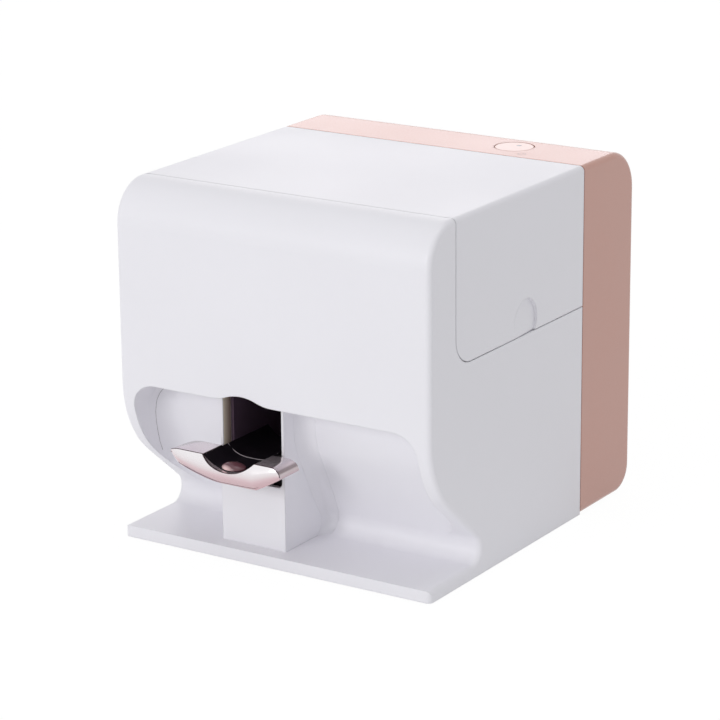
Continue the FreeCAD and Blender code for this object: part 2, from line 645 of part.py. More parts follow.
def make_dc_inlet():
    """Barrel inlet behind the rear shell's hole."""
    case = box("InletCase", 53, 67, 192, D.ShellDepth - D.Wall, 31, 45)
    nose = rod("InletNose", "Y", 60, 38, 5.4, 204, D.ShellDepth - 0.4)
    hollow = tube("InletHollow", "Y", 60, 38, 3.2, 1.0, 198, D.ShellDepth + 3)
    return node(cut("InletCut", fuse("InletFuse", case, nose), hollow), "dc_inlet")


# ---------------------------------------------------------------- hinge and catch

def make_hinge_pins():
    front = rod("FrontPin", "Y", HINGE_X, HINGE_Z, D.HingePin, 17.5, 30.5)
    rear = rod("RearPin", "Y", HINGE_X, HINGE_Z, D.HingePin, 148, 159.5)
    return node(fuse("HingePins", front, rear), "hinge_pins")


def make_cover_magnets():
    magnets = [rod("Magnet{}".format(i), "Z", 85.5, y, 2.2, 120.3, 123.3) for i, y in enumerate((50.5, 135))]
    return node(fuse("Magnets", *magnets), "cover_magnets")


def make_catch_plates():
    plates = [box("CatchPlate{}".format(i), 82.8, 87.7, y - 4, y + 4, D.SillZ - D.SeamGap, 119.9)
              for i, y in enumerate((50.5, 135))]
    return node(fuse("CatchPlates", *plates), "catch_plates")


# ---------------------------------------------------------------- finger tray and tunnel

def make_tunnel_liner():
    """Dark lining of the finger tunnel: port end, lower rear end, nail window, mounting ears."""
    body = new_body("LinerBody")
    out = D.LinerHalf
    ins = D.LinerHalf - D.LinerWall
    roof = 90.8
    low_roof = 80.5
    pad(body, "LinerFront", "Y", 16, 31,
        [(CX - out, 46), (CX - ins, 46), (CX - ins, roof - D.LinerWall), (CX + ins, roof - D.LinerWall),
         (CX + ins, 46), (CX + out, 46), (CX + out, roof), (CX - out, roof)])
    pad(body, "LinerRear", "Y", 31, 64,
        [(CX - out, 46), (CX - ins, 46), (CX - ins, low_roof - D.LinerWall),
         (CX + ins, low_roof - D.LinerWall), (CX + ins, 46), (CX + out, 46), (CX + out, low_roof),
         (CX - out, low_roof)])
    pad(body, "LinerStep", "Y", 29.4, 31, rectangle(CX - out, CX + out, low_roof - D.LinerWall, roof))
    pad(body, "LinerEnd", "Y", 62.4, 64, rectangle(CX - out, CX + out, 46, low_roof))
    pad(body, "LinerEars", "Y", 29, 31, rectangle(CX - 25, CX - ins - 0.8, 75, 90),
        rectangle(CX + ins + 0.8, CX + 25, 75, 90))
    pocket(body, "NailWindow", "Z", 76, 82, rectangle(CX - 13, CX + 13, 34, 60, 2))
    return node(body, "tunnel_liner")


def make_tray_fascia():
    """The plated finger rest: two wings and a channel, rolled under at the front."""
    section = new_body("FasciaSection")
    left = CX - D.TrayLeft
    right = CX + D.TrayRight
    c = D.ChannelHalf
    pad(section, "FasciaPad", "Y", D.TrayFront, D.TrayRear,
        [(left, D.TrayTop - 0.1, D.WingRound), (left, 55.4, 3), (CX - 14, D.TrayUnder, 14),
         (CX + 17, D.TrayUnder, 14), (right, 55.4, 2), (right, 57.9, 1.5),
         (right - D.WingSlope, D.TrayTop - 0.1, D.WingRound), (CX + c, D.TrayTop, 0.8),
         (CX + 9.5, 54.9, 14), (CX - 9.5, 54.9, 14), (CX - c, D.TrayTop, 0.8)])
    pocket(section, "TroughSeat", "Y", D.TroughFront, D.TrayRear + 1,
           [(CX - 15.7, 59.79), (CX - 9.44, 54.4, 10.2), (CX + 9.44, 54.4, 10.2), (CX + 15.7, 59.79),
            (CX + 15.7, 70), (CX - 15.7, 70)])
    plan = new_body("FasciaPlan")
    pad(plan, "FasciaPlanPad", "Z", 40, 72,
        [(left, D.TrayFront, 0.8), (right, D.TrayFront, 0.8), (right, D.TrayRear, 1.5),
         (left, D.TrayRear, 9)])
    side = new_body("FasciaSide")
    pad(side, "FasciaSidePad", "X", CX - 40, CX + 40,
        [(-12.9, 72), (-12.9, 61.9), (D.TrayFront - 1.4, 57.5, 7), (-9, 43.5), (D.TrayRear + 1, 43.5),
         (D.TrayRear + 1, 72)])
    return node(common("FasciaCommon", section, plan, side), "tray_fascia")


def make_finger_trough():
    """The glossy channel that runs from the finger rest into the tunnel."""
    body = new_body("TroughBody")
    pad(body, "TroughPad", "Y", D.TroughFront, 46,
        [(CX - 15.7, 61.37), (CX - 15.7, 59.79), (CX - 9.44, 54.4, 10.2), (CX + 9.44, 54.4, 10.2),
         (CX + 15.7, 59.79), (CX + 15.7, 61.37), (CX + 9, D.TrayFloor, 9), (CX - 9, D.TrayFloor, 9)])
    return node(body, "finger_trough")


def make_finger_pad():
    body = new_body("FingerPadBody")
    pad(body, "FingerPadPad", "Z", D.TrayFloor, D.TrayFloor + 1.3, rectangle(CX - 5.5, CX + 5.5, -8.5, -3.5, 2))
    return node(body, "finger_pad")


def make_tray_carrier():
    """The slide under the trough, with two long bosses that run on the guide posts."""
    body = new_body("CarrierBody")
    pad(body, "CarrierPlate", "Z", 51, 54.4, rectangle(CX - 14, CX + 14, 13, 30, 2))
    places = [(CX - D.PostHalf, D.PostY), (CX + D.PostHalf, D.PostY)]
    pad(body, "CarrierBosses", "Z", 36, 51.5, circles=[(x, y, 4) for x, y in places])
    pocket(body, "CarrierBores", "Z", 35, 52.5, circles=[(x, y, D.PostRadius + D.PinPlay) for x, y in places])
    return node(body, "tray_carrier")


def make_tray_guide_posts():
    low = D.PlateTop + 1.5
    posts = [rod("Post{}".format(i), "Z", x, D.PostY, D.PostRadius, low, 44)
             for i, x in enumerate((CX - D.PostHalf, CX + D.PostHalf))]
    return node(fuse("GuidePosts", *posts), "tray_guide_posts")


def make_tray_spring(label, x):
    """A coil spring between the column's floor and a carrier boss."""
    low = D.PlateTop + 1.5
    wire = 0.4
    coil = Part.makeHelix(4.2, 36 - float(low) - 2 * wire, 3.1)
    section = Part.Wire(Part.makeCircle(wire, FreeCAD.Vector(3.1, 0, 0), FreeCAD.Vector(0, 1, 0)))
    spring = DOC.addObject("Part::Feature", label)
    spring.Shape = Part.Wire(coil).makePipeShell([section], True, True)
    spring.Placement = FreeCAD.Placement(
        FreeCAD.Vector(float(x), float(D.PostY), float(low) + wire), FreeCAD.Rotation())
    bind(spring, "Placement.Base.x", x)
    return node(spring, label)


# ---------------------------------------------------------------- chassis and Y stage

def make_chassis():
    """Bent sheet that carries the print mechanism over the tunnel."""
    body = new_body("ChassisBody")
    s = D.SheetMetal
    pad(body, "ChassisSheet", "X", -88, 88,
        [(6, 91), (31, 91), (31, 76), (172, 76), (172, 112), (172 - s, 112), (172 - s, 76 + s),
         (31 + s, 76 + s), (31 + s, 91 + s), (6 + s, 91 + s), (6 + s, 112), (6, 112)])
    pocket(body, "TunnelClearance", "Z", 74, 81, rectangle(CX - 18.6, CX + 18.6, 30, 65.6))
    pocket(body, "ScrewClearance", "Y", 169, 173, circles=[(D.ScrewX, D.ScrewZ, 4)])
    pocket(body, "ChassisPadHoles", "Z", 90, 93, circles=[(-80, 12, 1.7), (80, 12, 1.7)])
    pocket(body, "ChassisPostHoles", "Z", 75, 78, circles=[(-82, 140, 1.7), (82, 140, 1.7)])
    pocket(body, "LighteningHoles", "Z", 75, 78, rectangle(-40, 10, 90, 155, 6), rectangle(22, 66, 90, 155, 6))
    return node(body, "chassis")


def make_chassis_screws():
    parts = []
    for i, (x, y, seat, tip) in enumerate(((-80, 12, 92.5, 88.6), (80, 12, 92.5, 88.6),
                                           (-82, 140, 77.5, 67), (82, 140, 77.5, 67))):
        head = rod("ChassisScrewHead{}".format(i), "Z", x, y, 2.8, seat, seat + 2)
        shank = rod("ChassisScrewShank{}".format(i), "Z", x, y, 1.45, tip, seat + 0.2)
        parts.append(fuse("ChassisScrew{}".format(i), head, shank))
    return node(fuse("ChassisScrews", *parts), "chassis_screws")


def make_y_guide_rod(label, x):
    rear = 172 - D.SheetMetal
    return node(rod(label, "Y", x, D.RodZ, D.RodRadius, 6 + D.SheetMetal, rear), label)


def make_stage_frame():
    """The Y stage: rear plate, side plates and a bushing block on each Y rod."""
    body = new_body("StageBody")
    w = D.StageHalf
    pad(body, "StagePlates", "Z", 84, 140,
        [(-w, D.StageFront), (-w + 3, D.StageFront), (-w + 3, D.StageRear - D.StageWall),
         (w - 3, D.StageRear - D.StageWall), (w - 3, D.StageFront), (w, D.StageFront), (w, D.StageRear),
         (-w, D.StageRear)])
    pad(body, "BushingBlocks", "Y", D.StageFront + 2, D.StageRear - 2,
        rectangle(-90, -w + 0.5, 94, 106), rectangle(w - 0.5, 90, 94, 106))
    pocket(body, "BushingBores", "Y", D.StageFront, D.StageRear,
           circles=[(-D.RodX, D.RodZ, D.BushRadius), (D.RodX, D.RodZ, D.BushRadius)])
    pocket(body, "RearPlateHoles", "Y", D.StageRear - 4, D.StageRear + 1,
           circles=[(-D.PulleyX, D.PulleyZ, 5.5), (D.PulleyX, D.PulleyZ, 1.5), (D.ScrewX, D.ScrewZ, 4.2)])
    pocket(body, "PlateWindow", "Y", D.StageRear - 4, D.StageRear + 1, rectangle(-38, 46, 92, 132, 8))
    return node(body, "stage_frame")


def make_stage_bushings():
    rings = []
    for i, (x, low) in enumerate(((-1, 106), (-1, 124), (1, 106), (1, 124))):
        rings.append(tube("StageBush{}".format(i), "Y", D.RodX * x, D.RodZ, D.BushRadius,
                          D.RodRadius + D.PinPlay, Size(low), Size(low + 10)))
    return node(fuse("StageBushes", *rings), "stage_bushings")


def make_x_guide_rod(label, height):
    reach = D.StageHalf - 3
    return node(rod(label, "X", D.CrossY, height, D.RodRadius, -reach, reach), label)


def make_x_motor():
    """Round stepper on the back of the Y stage."""
    x, z = -D.PulleyX, D.PulleyZ
    can = rod("XMotorCan", "Y", x, z, 12.5, 136, 154)
    cap = rod("XMotorCap", "Y", x, z, 9.5, 154, 156)
    pilot = rod("XMotorPilot", "Y", x, z, 5.4, 134.2, 136.5)
    bore = rod("XMotorBore", "Y", x, z, 1.3, 130, 149)
    ears = box("XMotorEars", x - 15.5, x + 15.5, 136, 137.5, z - 4, z + 4)
    return node(cut("XMotorCut", fuse("XMotorFuse", can, cap, pilot, ears), bore), "x_motor")


def make_pulley_wheel(name, x):
    z = D.PulleyZ
    core = rod(name + "Core", "Y", x, z, D.BeltInner - 0.3, 124, 130)
    front = rod(name + "Front", "Y", x, z, 9.9, 123.2, 124.2)
    rear = rod(name + "Rear", "Y", x, z, 9.9, 129.8, 130.8)
    hub = rod(name + "Hub", "Y", x, z, 4, 130.5, 133.4)
    return [core, front, rear, hub]


def make_x_drive_pulley():
    shaft = rod("DriveShaft", "Y", -D.PulleyX, D.PulleyZ, 1.2, 122.4, 148)
    wheel = make_pulley_wheel("Drive", -D.PulleyX)
    return node(fuse("DrivePulleyFuse", shaft, *wheel), "x_drive_pulley")


def make_x_idler_pulley():
    wheel = make_pulley_wheel("Idler", D.PulleyX)
    bore = rod("IdlerBore", "Y", D.PulleyX, D.PulleyZ, 1.5 + D.PinPlay, 120, 135)
    return node(cut("IdlerCut", fuse("IdlerFuse", *wheel), bore), "x_idler_pulley")


def make_idler_pin():
    pin = rod("IdlerPinShank", "Y", D.PulleyX, D.PulleyZ, 1.5, 121.5, 136)
    head = rod("IdlerPinHead", "Y", D.PulleyX, D.PulleyZ, 2.8, 121, 122.8)
    return node(fuse("IdlerPinFuse", pin, head), "idler_pin")


def make_stadium(name, radius, y0, y1):
    """A flat-sided loop between the two pulleys, solid."""
    x, z = D.PulleyX, D.PulleyZ
    ends = [rod(name + side, "Y", sign * x, z, radius, y0, y1) for side, sign in (("Left", -1), ("Right", 1))]
    middle = box(name + "Middle", -x, x, y0, y1, z - radius, z + radius)
    return fuse(name, middle, *ends)


def make_x_belt():
    outer = make_stadium("BeltOutside", D.BeltInner + D.BeltThick, 124.5, 129.5)
    inner = make_stadium("BeltInside", D.BeltInner, 124, 130)
    return node(cut("BeltCut", outer, inner), "x_belt")


def make_y_lead_nut():
    flange = rod("NutFlange", "Y", D.ScrewX, D.ScrewZ, 5.6, 132, 134)
    barrel = rod("NutBarrel", "Y", D.ScrewX, D.ScrewZ, 4.6, 122, 132.5)
    bore = rod("NutBore", "Y", D.ScrewX, D.ScrewZ, D.RodRadius + D.PinPlay, 120, 135)
    return node(cut("NutCut", fuse("NutFuse", flange, barrel), bore), "y_lead_nut")


def make_y_lead_screw():
    """Lead screw with its front journal, coupler and motor journal."""
    x, z = D.ScrewX, D.ScrewZ
    screw = rod("ScrewRod", "Y", x, z, D.RodRadius, 40, 160)
    journal = rod("ScrewJournal", "Y", x, z, 2, 34.5, 40.5)
    coupler = rod("ScrewCoupler", "Y", x, z, 6, 158, 169)
    shaft = rod("ScrewShaft", "Y", x, z, 2, 168.5, 183)
    return node(fuse("LeadScrewFuse", screw, journal, coupler, shaft), "y_lead_screw")


def make_screw_bearing():
    block = box("BearingBlock", D.ScrewX - 7, D.ScrewX + 7, 34, 39.7, 77.5, 99)
    bore = rod("BearingBore", "Y", D.ScrewX, D.ScrewZ, 2 + D.PinPlay, 33, 41)
    return node(cut("BearingCut", block, bore), "screw_bearing")


def make_y_motor():
    body = new_body("YMotorBody")
    x, z = D.ScrewX, D.ScrewZ
    pad(body, "YMotorCan", "Y", 172, 190, rectangle(x - 14, x + 14, z - 14, z + 14, 4))
    pocket(body, "YMotorBore", "Y", 171, 185, circles=[(x, z, 2.3)])
    return node(body, "y_motor")


# ---------------------------------------------------------------- carriage and cartridge

def make_carriage():
    """The X carriage: open box for the cartridge, block on both X rods, jaws over the belt."""
    body = new_body("CarriageBody")
    x = D.ParkX
    pad(body, "CarriageBox", "Z", 90, 112, rectangle(x - 16.5, x + 16.5, 54, 106.5, 1.2))
    pocket(body, "CarriageHollow", "Z", 92, 113, rectangle(x - 15, x + 15, 55.5, 104.5))
    pocket(body, "CarriageFront", "Y", 53, 56, rectangle(x - 13, x + 13, 98, 113))
    pocket(body, "SnoutWindow", "Z", 89, 93, rectangle(x - 10.7, x + 10.7, 57.3, 74.7))
    pad(body, "RodBlock", "Z", 92, 136, rectangle(x - 14, x + 14, 106, 122, 1))
    pad(body, "BeltJaws", "Y", 121.5, 130.5, rectangle(x - 6, x + 6, 104.3, 108),
        rectangle(x - 6, x + 6, 98.5, 102.3))
    pocket(body, "RodBores", "X", x - 20, x + 20, circles=[
        (D.CrossY, D.CrossLowZ, D.BushRadius), (D.CrossY, D.CrossHighZ, D.BushRadius)])
    return node(body, "carriage")


def make_carriage_bushings():
    rings = []
    for i, (dx, z) in enumerate(((-14, D.CrossLowZ), (5, D.CrossLowZ), (-14, D.CrossHighZ),
                                 (5, D.CrossHighZ))):
        rings.append(tube("CarriageBush{}".format(i), "X", D.CrossY, z, D.BushRadius,
                          D.RodRadius + D.PinPlay, D.ParkX + dx, D.ParkX + (dx + 9)))
    return node(fuse("CarriageBushes", *rings), "carriage_bushings")


def make_ink_cartridge():
    """Cartridge with a print snout and a grip tab."""
    body = new_body("CartridgeBody")
    x = D.ParkX
    pad(body, "CartridgeTank", "Z", 92.05, 138, rectangle(x - 14.4, x + 14.4, 56, 104, 2))
    pad(body, "CartridgeSnout", "Z", 82.05, 92.1, rectangle(x - 10, x + 10, 58, 74, 1.5))
    pad(body, "CartridgeGrip", "Z", 138, 143, rectangle(x - 9, x + 9, 92, 95, 1))
    return node(body, "ink_cartridge")


def make_nozzle_plate():
    return node(box("NozzleBox", D.ParkX - 8, D.ParkX + 8, 60, 72, 81.25, 82.05), "nozzle_plate")


# ---------------------------------------------------------------- service station, camera, board

def make_cap_station():
    """Parking place of the print head, with its waste well."""
    body = new_body("CapBody")
    pad(body, "CapBase", "Z", 77.5, 80.0, rectangle(D.ParkX - 16, D.ParkX + 16, 54, 80, 2))
    pocket(body, "CapWell", "Z", 78.5, 81, rectangle(D.ParkX - 8, D.ParkX + 8, 60.5, 71.5, 1.5))
    return node(body, "cap_station")


def make_cap_seal():
    body = new_body("SealBody")
    x = D.ParkX
    pad(body, "SealRing", "Z", 80.0, 80.85, rectangle(x - 10, x + 10, 58.5, 73.5, 2),
        rectangle(x - 8.4, x + 8.4, 60.1, 71.9, 1))
    return node(body, "cap_seal")


def make_wiper_blade():
    blade = box("WiperBlade", 21.3, 22.5, 58, 74, 78.5, 80.95)
    foot = box("WiperFoot", 18.9, 24.9, 57, 75, 77.5, 79)
    return node(fuse("WiperFuse", blade, foot), "wiper_blade")


def make_camera_bracket():
    """Arm that holds the camera over the nail window, looking down and back."""
    body = new_body("CameraArmBody")
    pad(body, "CameraArm", "X", CX - 9, CX + 9,
        [(7.5, 93), (9, 93), (9, 149.3), (20.85, 154.64), (20.24, 156.0), (7.5, 150.26)])
    return node(body, "camera_bracket")


CAMERA_TURN = FreeCAD.Rotation(FreeCAD.Vector(1, 0, 0), 24.3)
CAMERA_LOOK = FreeCAD.Rotation(FreeCAD.Vector(0, 0, 1), FreeCAD.Vector(0, 0.4115, -0.9114))


def make_camera_module():
    case = DOC.addObject("Part::Box", "CameraCase")
    case.Length = 14
    case.Width = 11
    case.Height = 6
    placed(case, (CX - 7, Size(12.4), Size(144.19)), CAMERA_TURN)
    return node(case, "camera_module")


def make_camera_lens():
    lens = DOC.addObject("Part::Cylinder", "CameraBarrel")
    lens.Radius = 3
    lens.Height = 4
    placed(lens, (CX, Size(17.42), Size(146.455)), CAMERA_LOOK)
    return node(lens, "camera_lens")


def make_main_board():
    """Control board on the rear shell's posts, with its larger components."""
    plate = box("BoardPlate", -60, 60, 194, 195.6, 52, 126)
    holes = [rod("BoardHole{}".format(i), "Y", x, z, 1.6, 193, 197)
             for i, (x, z) in enumerate(((-55, 58), (55, 58), (-55, 120), (55, 120)))]
    chip = box("BoardChip", -18, 8, 192.4, 194, 78, 104)
    drivers = box("BoardDrivers", 16, 26, 192.6, 194, 84, 110)
    plug_row = box("BoardPlugRow", -44, -4, 188, 194, 108, 116)
    side_plugs = box("BoardSidePlugs", 34, 52, 188, 194, 60, 68)
    store = rod("BoardCapacitor", "Y", 40, 100, 5, 184, 194)
    fused = fuse("BoardFuse", plate, chip, drivers, plug_row, side_plugs, store)
    return node(cut("BoardCut", fused, *holes), "main_board")


def make_board_screws():
    parts = []
    for i, (x, z) in enumerate(((-55, 58), (55, 58), (-55, 120), (55, 120))):
        head = rod("BoardScrewHead{}".format(i), "Y", x, z, 2.8, 192.2, 194)
        shank = rod("BoardScrewShank{}".format(i), "Y", x, z, 1.35, 193.8, 201)
        parts.append(fuse("BoardScrew{}".format(i), head, shank))
    return node(fuse("BoardScrews", *parts), "board_screws")


# ---------------------------------------------------------------- build, check, export

def build():
    make_main_housing()
    make_finger_column()
    make_top_cover()
    make_rear_shell()
    make_bottom_cover()
    make_base_screws()
    make_rubber_feet()
    make_power_button()
    make_status_lens()
    make_switch_board()
    make_dc_inlet()
    make_hinge_pins()
    make_cover_magnets()
    make_catch_plates()
    make_tunnel_liner()
    make_tray_fascia()
    make_finger_trough()
    make_finger_pad()
    make_tray_carrier()
    make_tray_guide_posts()
    make_tray_spring("tray_spring_left", CX - D.PostHalf)
    make_tray_spring("tray_spring_right", CX + D.PostHalf)
    make_chassis()
    make_chassis_screws()
    make_y_guide_rod("y_guide_rod_left", -D.RodX)
    make_y_guide_rod("y_guide_rod_right", D.RodX)
    make_stage_frame()
    make_stage_bushings()
    make_x_guide_rod("x_guide_rod_lower", D.CrossLowZ)
    make_x_guide_rod("x_guide_rod_upper", D.CrossHighZ)
    make_x_motor()
    make_x_drive_pulley()
    make_x_idler_pulley()
    make_idler_pin()
    make_x_belt()
    make_y_lead_nut()
    make_y_lead_screw()
    make_screw_bearing()
    make_y_motor()
    make_carriage()
    make_carriage_bushings()
    make_ink_cartridge()
    make_nozzle_plate()
    make_cap_station()
    make_cap_seal()
    make_wiper_blade()
    make_camera_bracket()
    make_camera_module()
    make_camera_lens()
    make_main_board()
    make_board_screws()
    DOC.recompute()


def check():
    """Stop before anything is written if a feature failed, cut nothing or left no valid solid."""
    faults = []
    for item in DOC.Objects:
        if "Invalid" in item.State or "Error" in item.State:
            faults.append("{} is {}".format(item.Name, item.State))
        if item.TypeId == "Sketcher::SketchObject" and not item.FullyConstrained:
            faults.append("{} is not fully constrained".format(item.Name))
        if item.TypeId == "PartDesign::Pocket" and not item.Shape.isNull():
            if item.Shape.Volume > item.BaseFeature.Shape.Volume - 0.01:
                faults.append("{} cuts nothing".format(item.Name))
        if item.TypeId == "Part::Cut" and item.Shape.Volume > item.Base.Shape.Volume - 0.01:
            faults.append("{} takes nothing away".format(item.Name))
        if item.TypeId == "Part::MultiCommon":
            if not 0.01 < item.Shape.Volume < min(part.Shape.Volume for part in item.Shapes) - 0.01:
                faults.append("{} keeps nothing or everything".format(item.Name))
    for item in NODES:
        if item.Shape.isNull() or not item.Shape.isValid() or not item.Shape.Solids:
            faults.append("{} has no valid solid".format(item.Label))
    if faults:
        raise RuntimeError("; ".join(faults))


def export():
    os.makedirs("parts", exist_ok=True)
    for item in NODES:
        item.Shape.exportStep(os.path.join("parts", item.Label + ".step"))


build()
check()
export()
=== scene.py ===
"""Looks of the digital nail art printer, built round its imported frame.

The printer's solids come from the frame.  Each sub-assembly below dresses its own solids with procedural
finishes and adds the fine pieces that belong to it.  Lengths are metres; X runs to the right, Y to the back
and Z up, with the origin under the middle of the printer.
"""

from __future__ import annotations

import json
import logging
import math
import random
import sys
from dataclasses import dataclass, field
from enum import Enum
from typing import ClassVar, Iterable, Sequence

import bmesh
import bpy
from mathutils import Matrix, Vector
from mathutils.bvhtree import BVHTree

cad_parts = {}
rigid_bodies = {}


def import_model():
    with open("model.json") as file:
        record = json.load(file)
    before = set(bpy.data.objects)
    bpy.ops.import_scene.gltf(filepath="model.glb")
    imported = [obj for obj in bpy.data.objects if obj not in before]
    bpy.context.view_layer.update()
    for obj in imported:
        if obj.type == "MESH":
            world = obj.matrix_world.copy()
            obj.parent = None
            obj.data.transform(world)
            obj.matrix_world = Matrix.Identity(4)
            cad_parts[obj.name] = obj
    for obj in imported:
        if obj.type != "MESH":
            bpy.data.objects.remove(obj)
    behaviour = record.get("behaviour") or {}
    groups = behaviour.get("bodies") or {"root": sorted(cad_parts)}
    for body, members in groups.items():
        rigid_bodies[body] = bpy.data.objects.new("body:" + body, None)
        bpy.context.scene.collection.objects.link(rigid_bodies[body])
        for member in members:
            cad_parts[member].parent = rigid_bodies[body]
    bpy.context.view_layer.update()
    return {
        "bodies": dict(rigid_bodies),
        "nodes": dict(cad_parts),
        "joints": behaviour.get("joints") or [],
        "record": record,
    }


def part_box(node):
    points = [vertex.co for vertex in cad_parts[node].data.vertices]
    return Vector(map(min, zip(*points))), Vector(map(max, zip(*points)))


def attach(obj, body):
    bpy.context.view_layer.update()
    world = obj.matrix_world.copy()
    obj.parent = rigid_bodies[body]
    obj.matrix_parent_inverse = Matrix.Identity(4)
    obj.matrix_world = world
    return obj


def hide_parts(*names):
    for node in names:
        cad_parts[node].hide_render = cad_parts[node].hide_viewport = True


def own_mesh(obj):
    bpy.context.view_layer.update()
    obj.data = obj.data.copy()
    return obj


LOG = logging.getLogger("nail_printer")
MM = 0.001
TAU = 2 * math.pi
QUARTER = math.pi / 2
CREASE_ANGLE = math.radians(35)
FACE_FRONT = Matrix.Rotation(QUARTER, 4, "X")
FACE_BACK = Matrix.Rotation(-QUARTER, 4, "X")
Colour = tuple[float, float, float]
Point = Sequence[float]
Stops = Sequence[tuple[float, Colour]]
Node = bpy.types.Node
Socket = bpy.types.NodeSocket
Item = bpy.types.Object


class Body(str, Enum):
    """Rigid bodies of the printer that added pieces ride on."""

    BASE = "base"
    TRAY = "tray"
    STAGE = "y_stage"
    DRIVE = "drive_pulley"
    IDLER = "idler_pulley"
    CARRIAGE = "carriage"
    CARTRIDGE = "cartridge"
    SCREW = "lead_screw"


class Axis(Enum):
    """Direction in which a metal was ground or turned."""

    X = (1.0, 40.0, 40.0)
    Y = (40.0, 1.0, 40.0)
    Z = (40.0, 40.0, 1.0)
    EVEN = (12.0, 12.0, 12.0)


def spread(low: float, high: float, count: int) -> list[float]:
    """Even places from low to high, both included."""
    return [low + (high - low) * i / (count - 1) for i in range(count)]


# ---------------------------------------------------------------- node tools

class Graph:
    """Short calls for making and wiring nodes in one tree."""

    def __init__(self, tree: bpy.types.NodeTree) -> None:
        """Remember the tree that is being filled."""
        self.tree = tree

    def feed(self, node: Node, inputs: dict) -> None:
        """Give a node's inputs, by name or index, values or the sockets that are wired to them."""
        for key, value in inputs.items():
            if isinstance(value, Socket):
                self.tree.links.new(value, node.inputs[key])
            else:
                node.inputs[key].default_value = value

    def add(self, kind: str, inputs: dict | None = None, **settings) -> Node:
        """Make a node.

        Args:
            kind: Blender's type name of the node.
            inputs: input name or index, with a value or an output socket to link.
            settings: attributes of the node itself.

        Returns:
            The new node.
        """
        node = self.tree.nodes.new(kind)
        for name, value in settings.items():
            setattr(node, name, value)
        self.feed(node, inputs or {})
        return node

    def place(self, kind: str = "Object") -> Socket:
        """The object's own coordinates, or its normal."""
        return self.add("ShaderNodeTexCoord").outputs[kind]

    def noise(self, place: Socket, scale: float | Socket, detail: float = 2.0, rough: float = 0.5) -> Socket:
        """A noise from 0 to 1."""
        return self.add("ShaderNodeTexNoise", {"Vector": place, "Scale": scale, "Detail": detail,
                                               "Roughness": rough}).outputs[0]

    def maths(self, operation: str, *values: float | Socket) -> Socket:
        """Join numbers or sockets by an operation."""
        return self.add("ShaderNodeMath", dict(enumerate(values)), operation=operation).outputs[0]

    def mix_colour(self, factor: float | Socket, first: Colour | Socket, second: Colour | Socket) -> Socket:
        """Blend two colours by a factor."""
        ends = [value if isinstance(value, Socket) else (*value[:3], 1.0) for value in (first, second)]
        return self.add("ShaderNodeMix", {0: factor, 6: ends[0], 7: ends[1]}, data_type="RGBA").outputs[2]

    def ramp(self, value: Socket, low: float | Socket, high: float | Socket, out_low: float = 0.0,
             out_high: float = 1.0) -> Socket:
        """Stretch a range of values to another and clamp it."""
        return self.add("ShaderNodeMapRange", {0: value, 1: low, 2: high, 3: out_low, 4: out_high}).outputs[0]

    def bands(self, value: Socket, stops: Stops) -> Socket:
        """Turn a value from 0 to 1 into the colours of a row of stops."""
        node = self.add("ShaderNodeValToRGB", {0: value})
        elements = node.color_ramp.elements
        while len(elements) < len(stops):
            elements.new(0.5)
        for element, (place, colour) in zip(elements, stops):
            element.position = place
            element.color = (*colour, 1.0)
        return node.outputs[0]


class ShaderGroup:
    """A shader node group of numbers that is built once and shared by many finishes."""

    _made: dict[str, bpy.types.NodeTree] = {}
    name = "group"
    inputs: dict[str, float] = {}
    outputs: tuple[str, ...] = ()

    @classmethod
    def tree(cls) -> bpy.types.NodeTree:
        """Return the group's tree, building it the first time."""
        if cls.name not in ShaderGroup._made:
            tree = ShaderGroup._made[cls.name] = bpy.data.node_groups.new(cls.name, "ShaderNodeTree")
            number = "NodeSocketFloat"
            for label, value in cls.inputs.items():
                tree.interface.new_socket(name=label, in_out="INPUT", socket_type=number).default_value = value
            for label in cls.outputs:
                tree.interface.new_socket(name=label, in_out="OUTPUT", socket_type=number)
            graph = Graph(tree)
            results = cls.fill(graph, graph.add("NodeGroupInput").outputs)
            graph.add("NodeGroupOutput", dict(zip(cls.outputs, results)))
        return ShaderGroup._made[cls.name]

    @classmethod
    def fill(cls, graph: Graph, source: Sequence[Socket]) -> tuple[Socket, ...]:
        """Build the inside of the group and return its results, in the order of outputs."""
        raise NotImplementedError

    @classmethod
    def put(cls, graph: Graph, **values: float) -> Sequence[Socket]:
        """Put the group into a material with its own values and return what it gives."""
        node = graph.add("ShaderNodeGroup", node_tree=cls.tree())
        graph.feed(node, values)
        return node.outputs


class MouldGrain(ShaderGroup):
    """Fine texture of a spark-eroded mould, with a faint cloudy change of tone."""

    name = "mould_grain"
    inputs = {"Scale": 900.0, "Cloud": 14.0}
    outputs = ("Height", "Tone", "Sheen")

    @classmethod
    def fill(cls, graph: Graph, source: Sequence[Socket]) -> tuple[Socket, ...]:
        """A fine noise makes the grain, a slow one the tone, and both the sheen."""
        place = graph.place()
        fine = graph.noise(place, source["Scale"], 2.0, 0.6)
        slow = graph.noise(place, source["Cloud"], 3.0)
        both = graph.maths("MULTIPLY", fine, slow)
        return fine, graph.ramp(slow, 0.3, 0.7), graph.ramp(both, 0.15, 0.38)


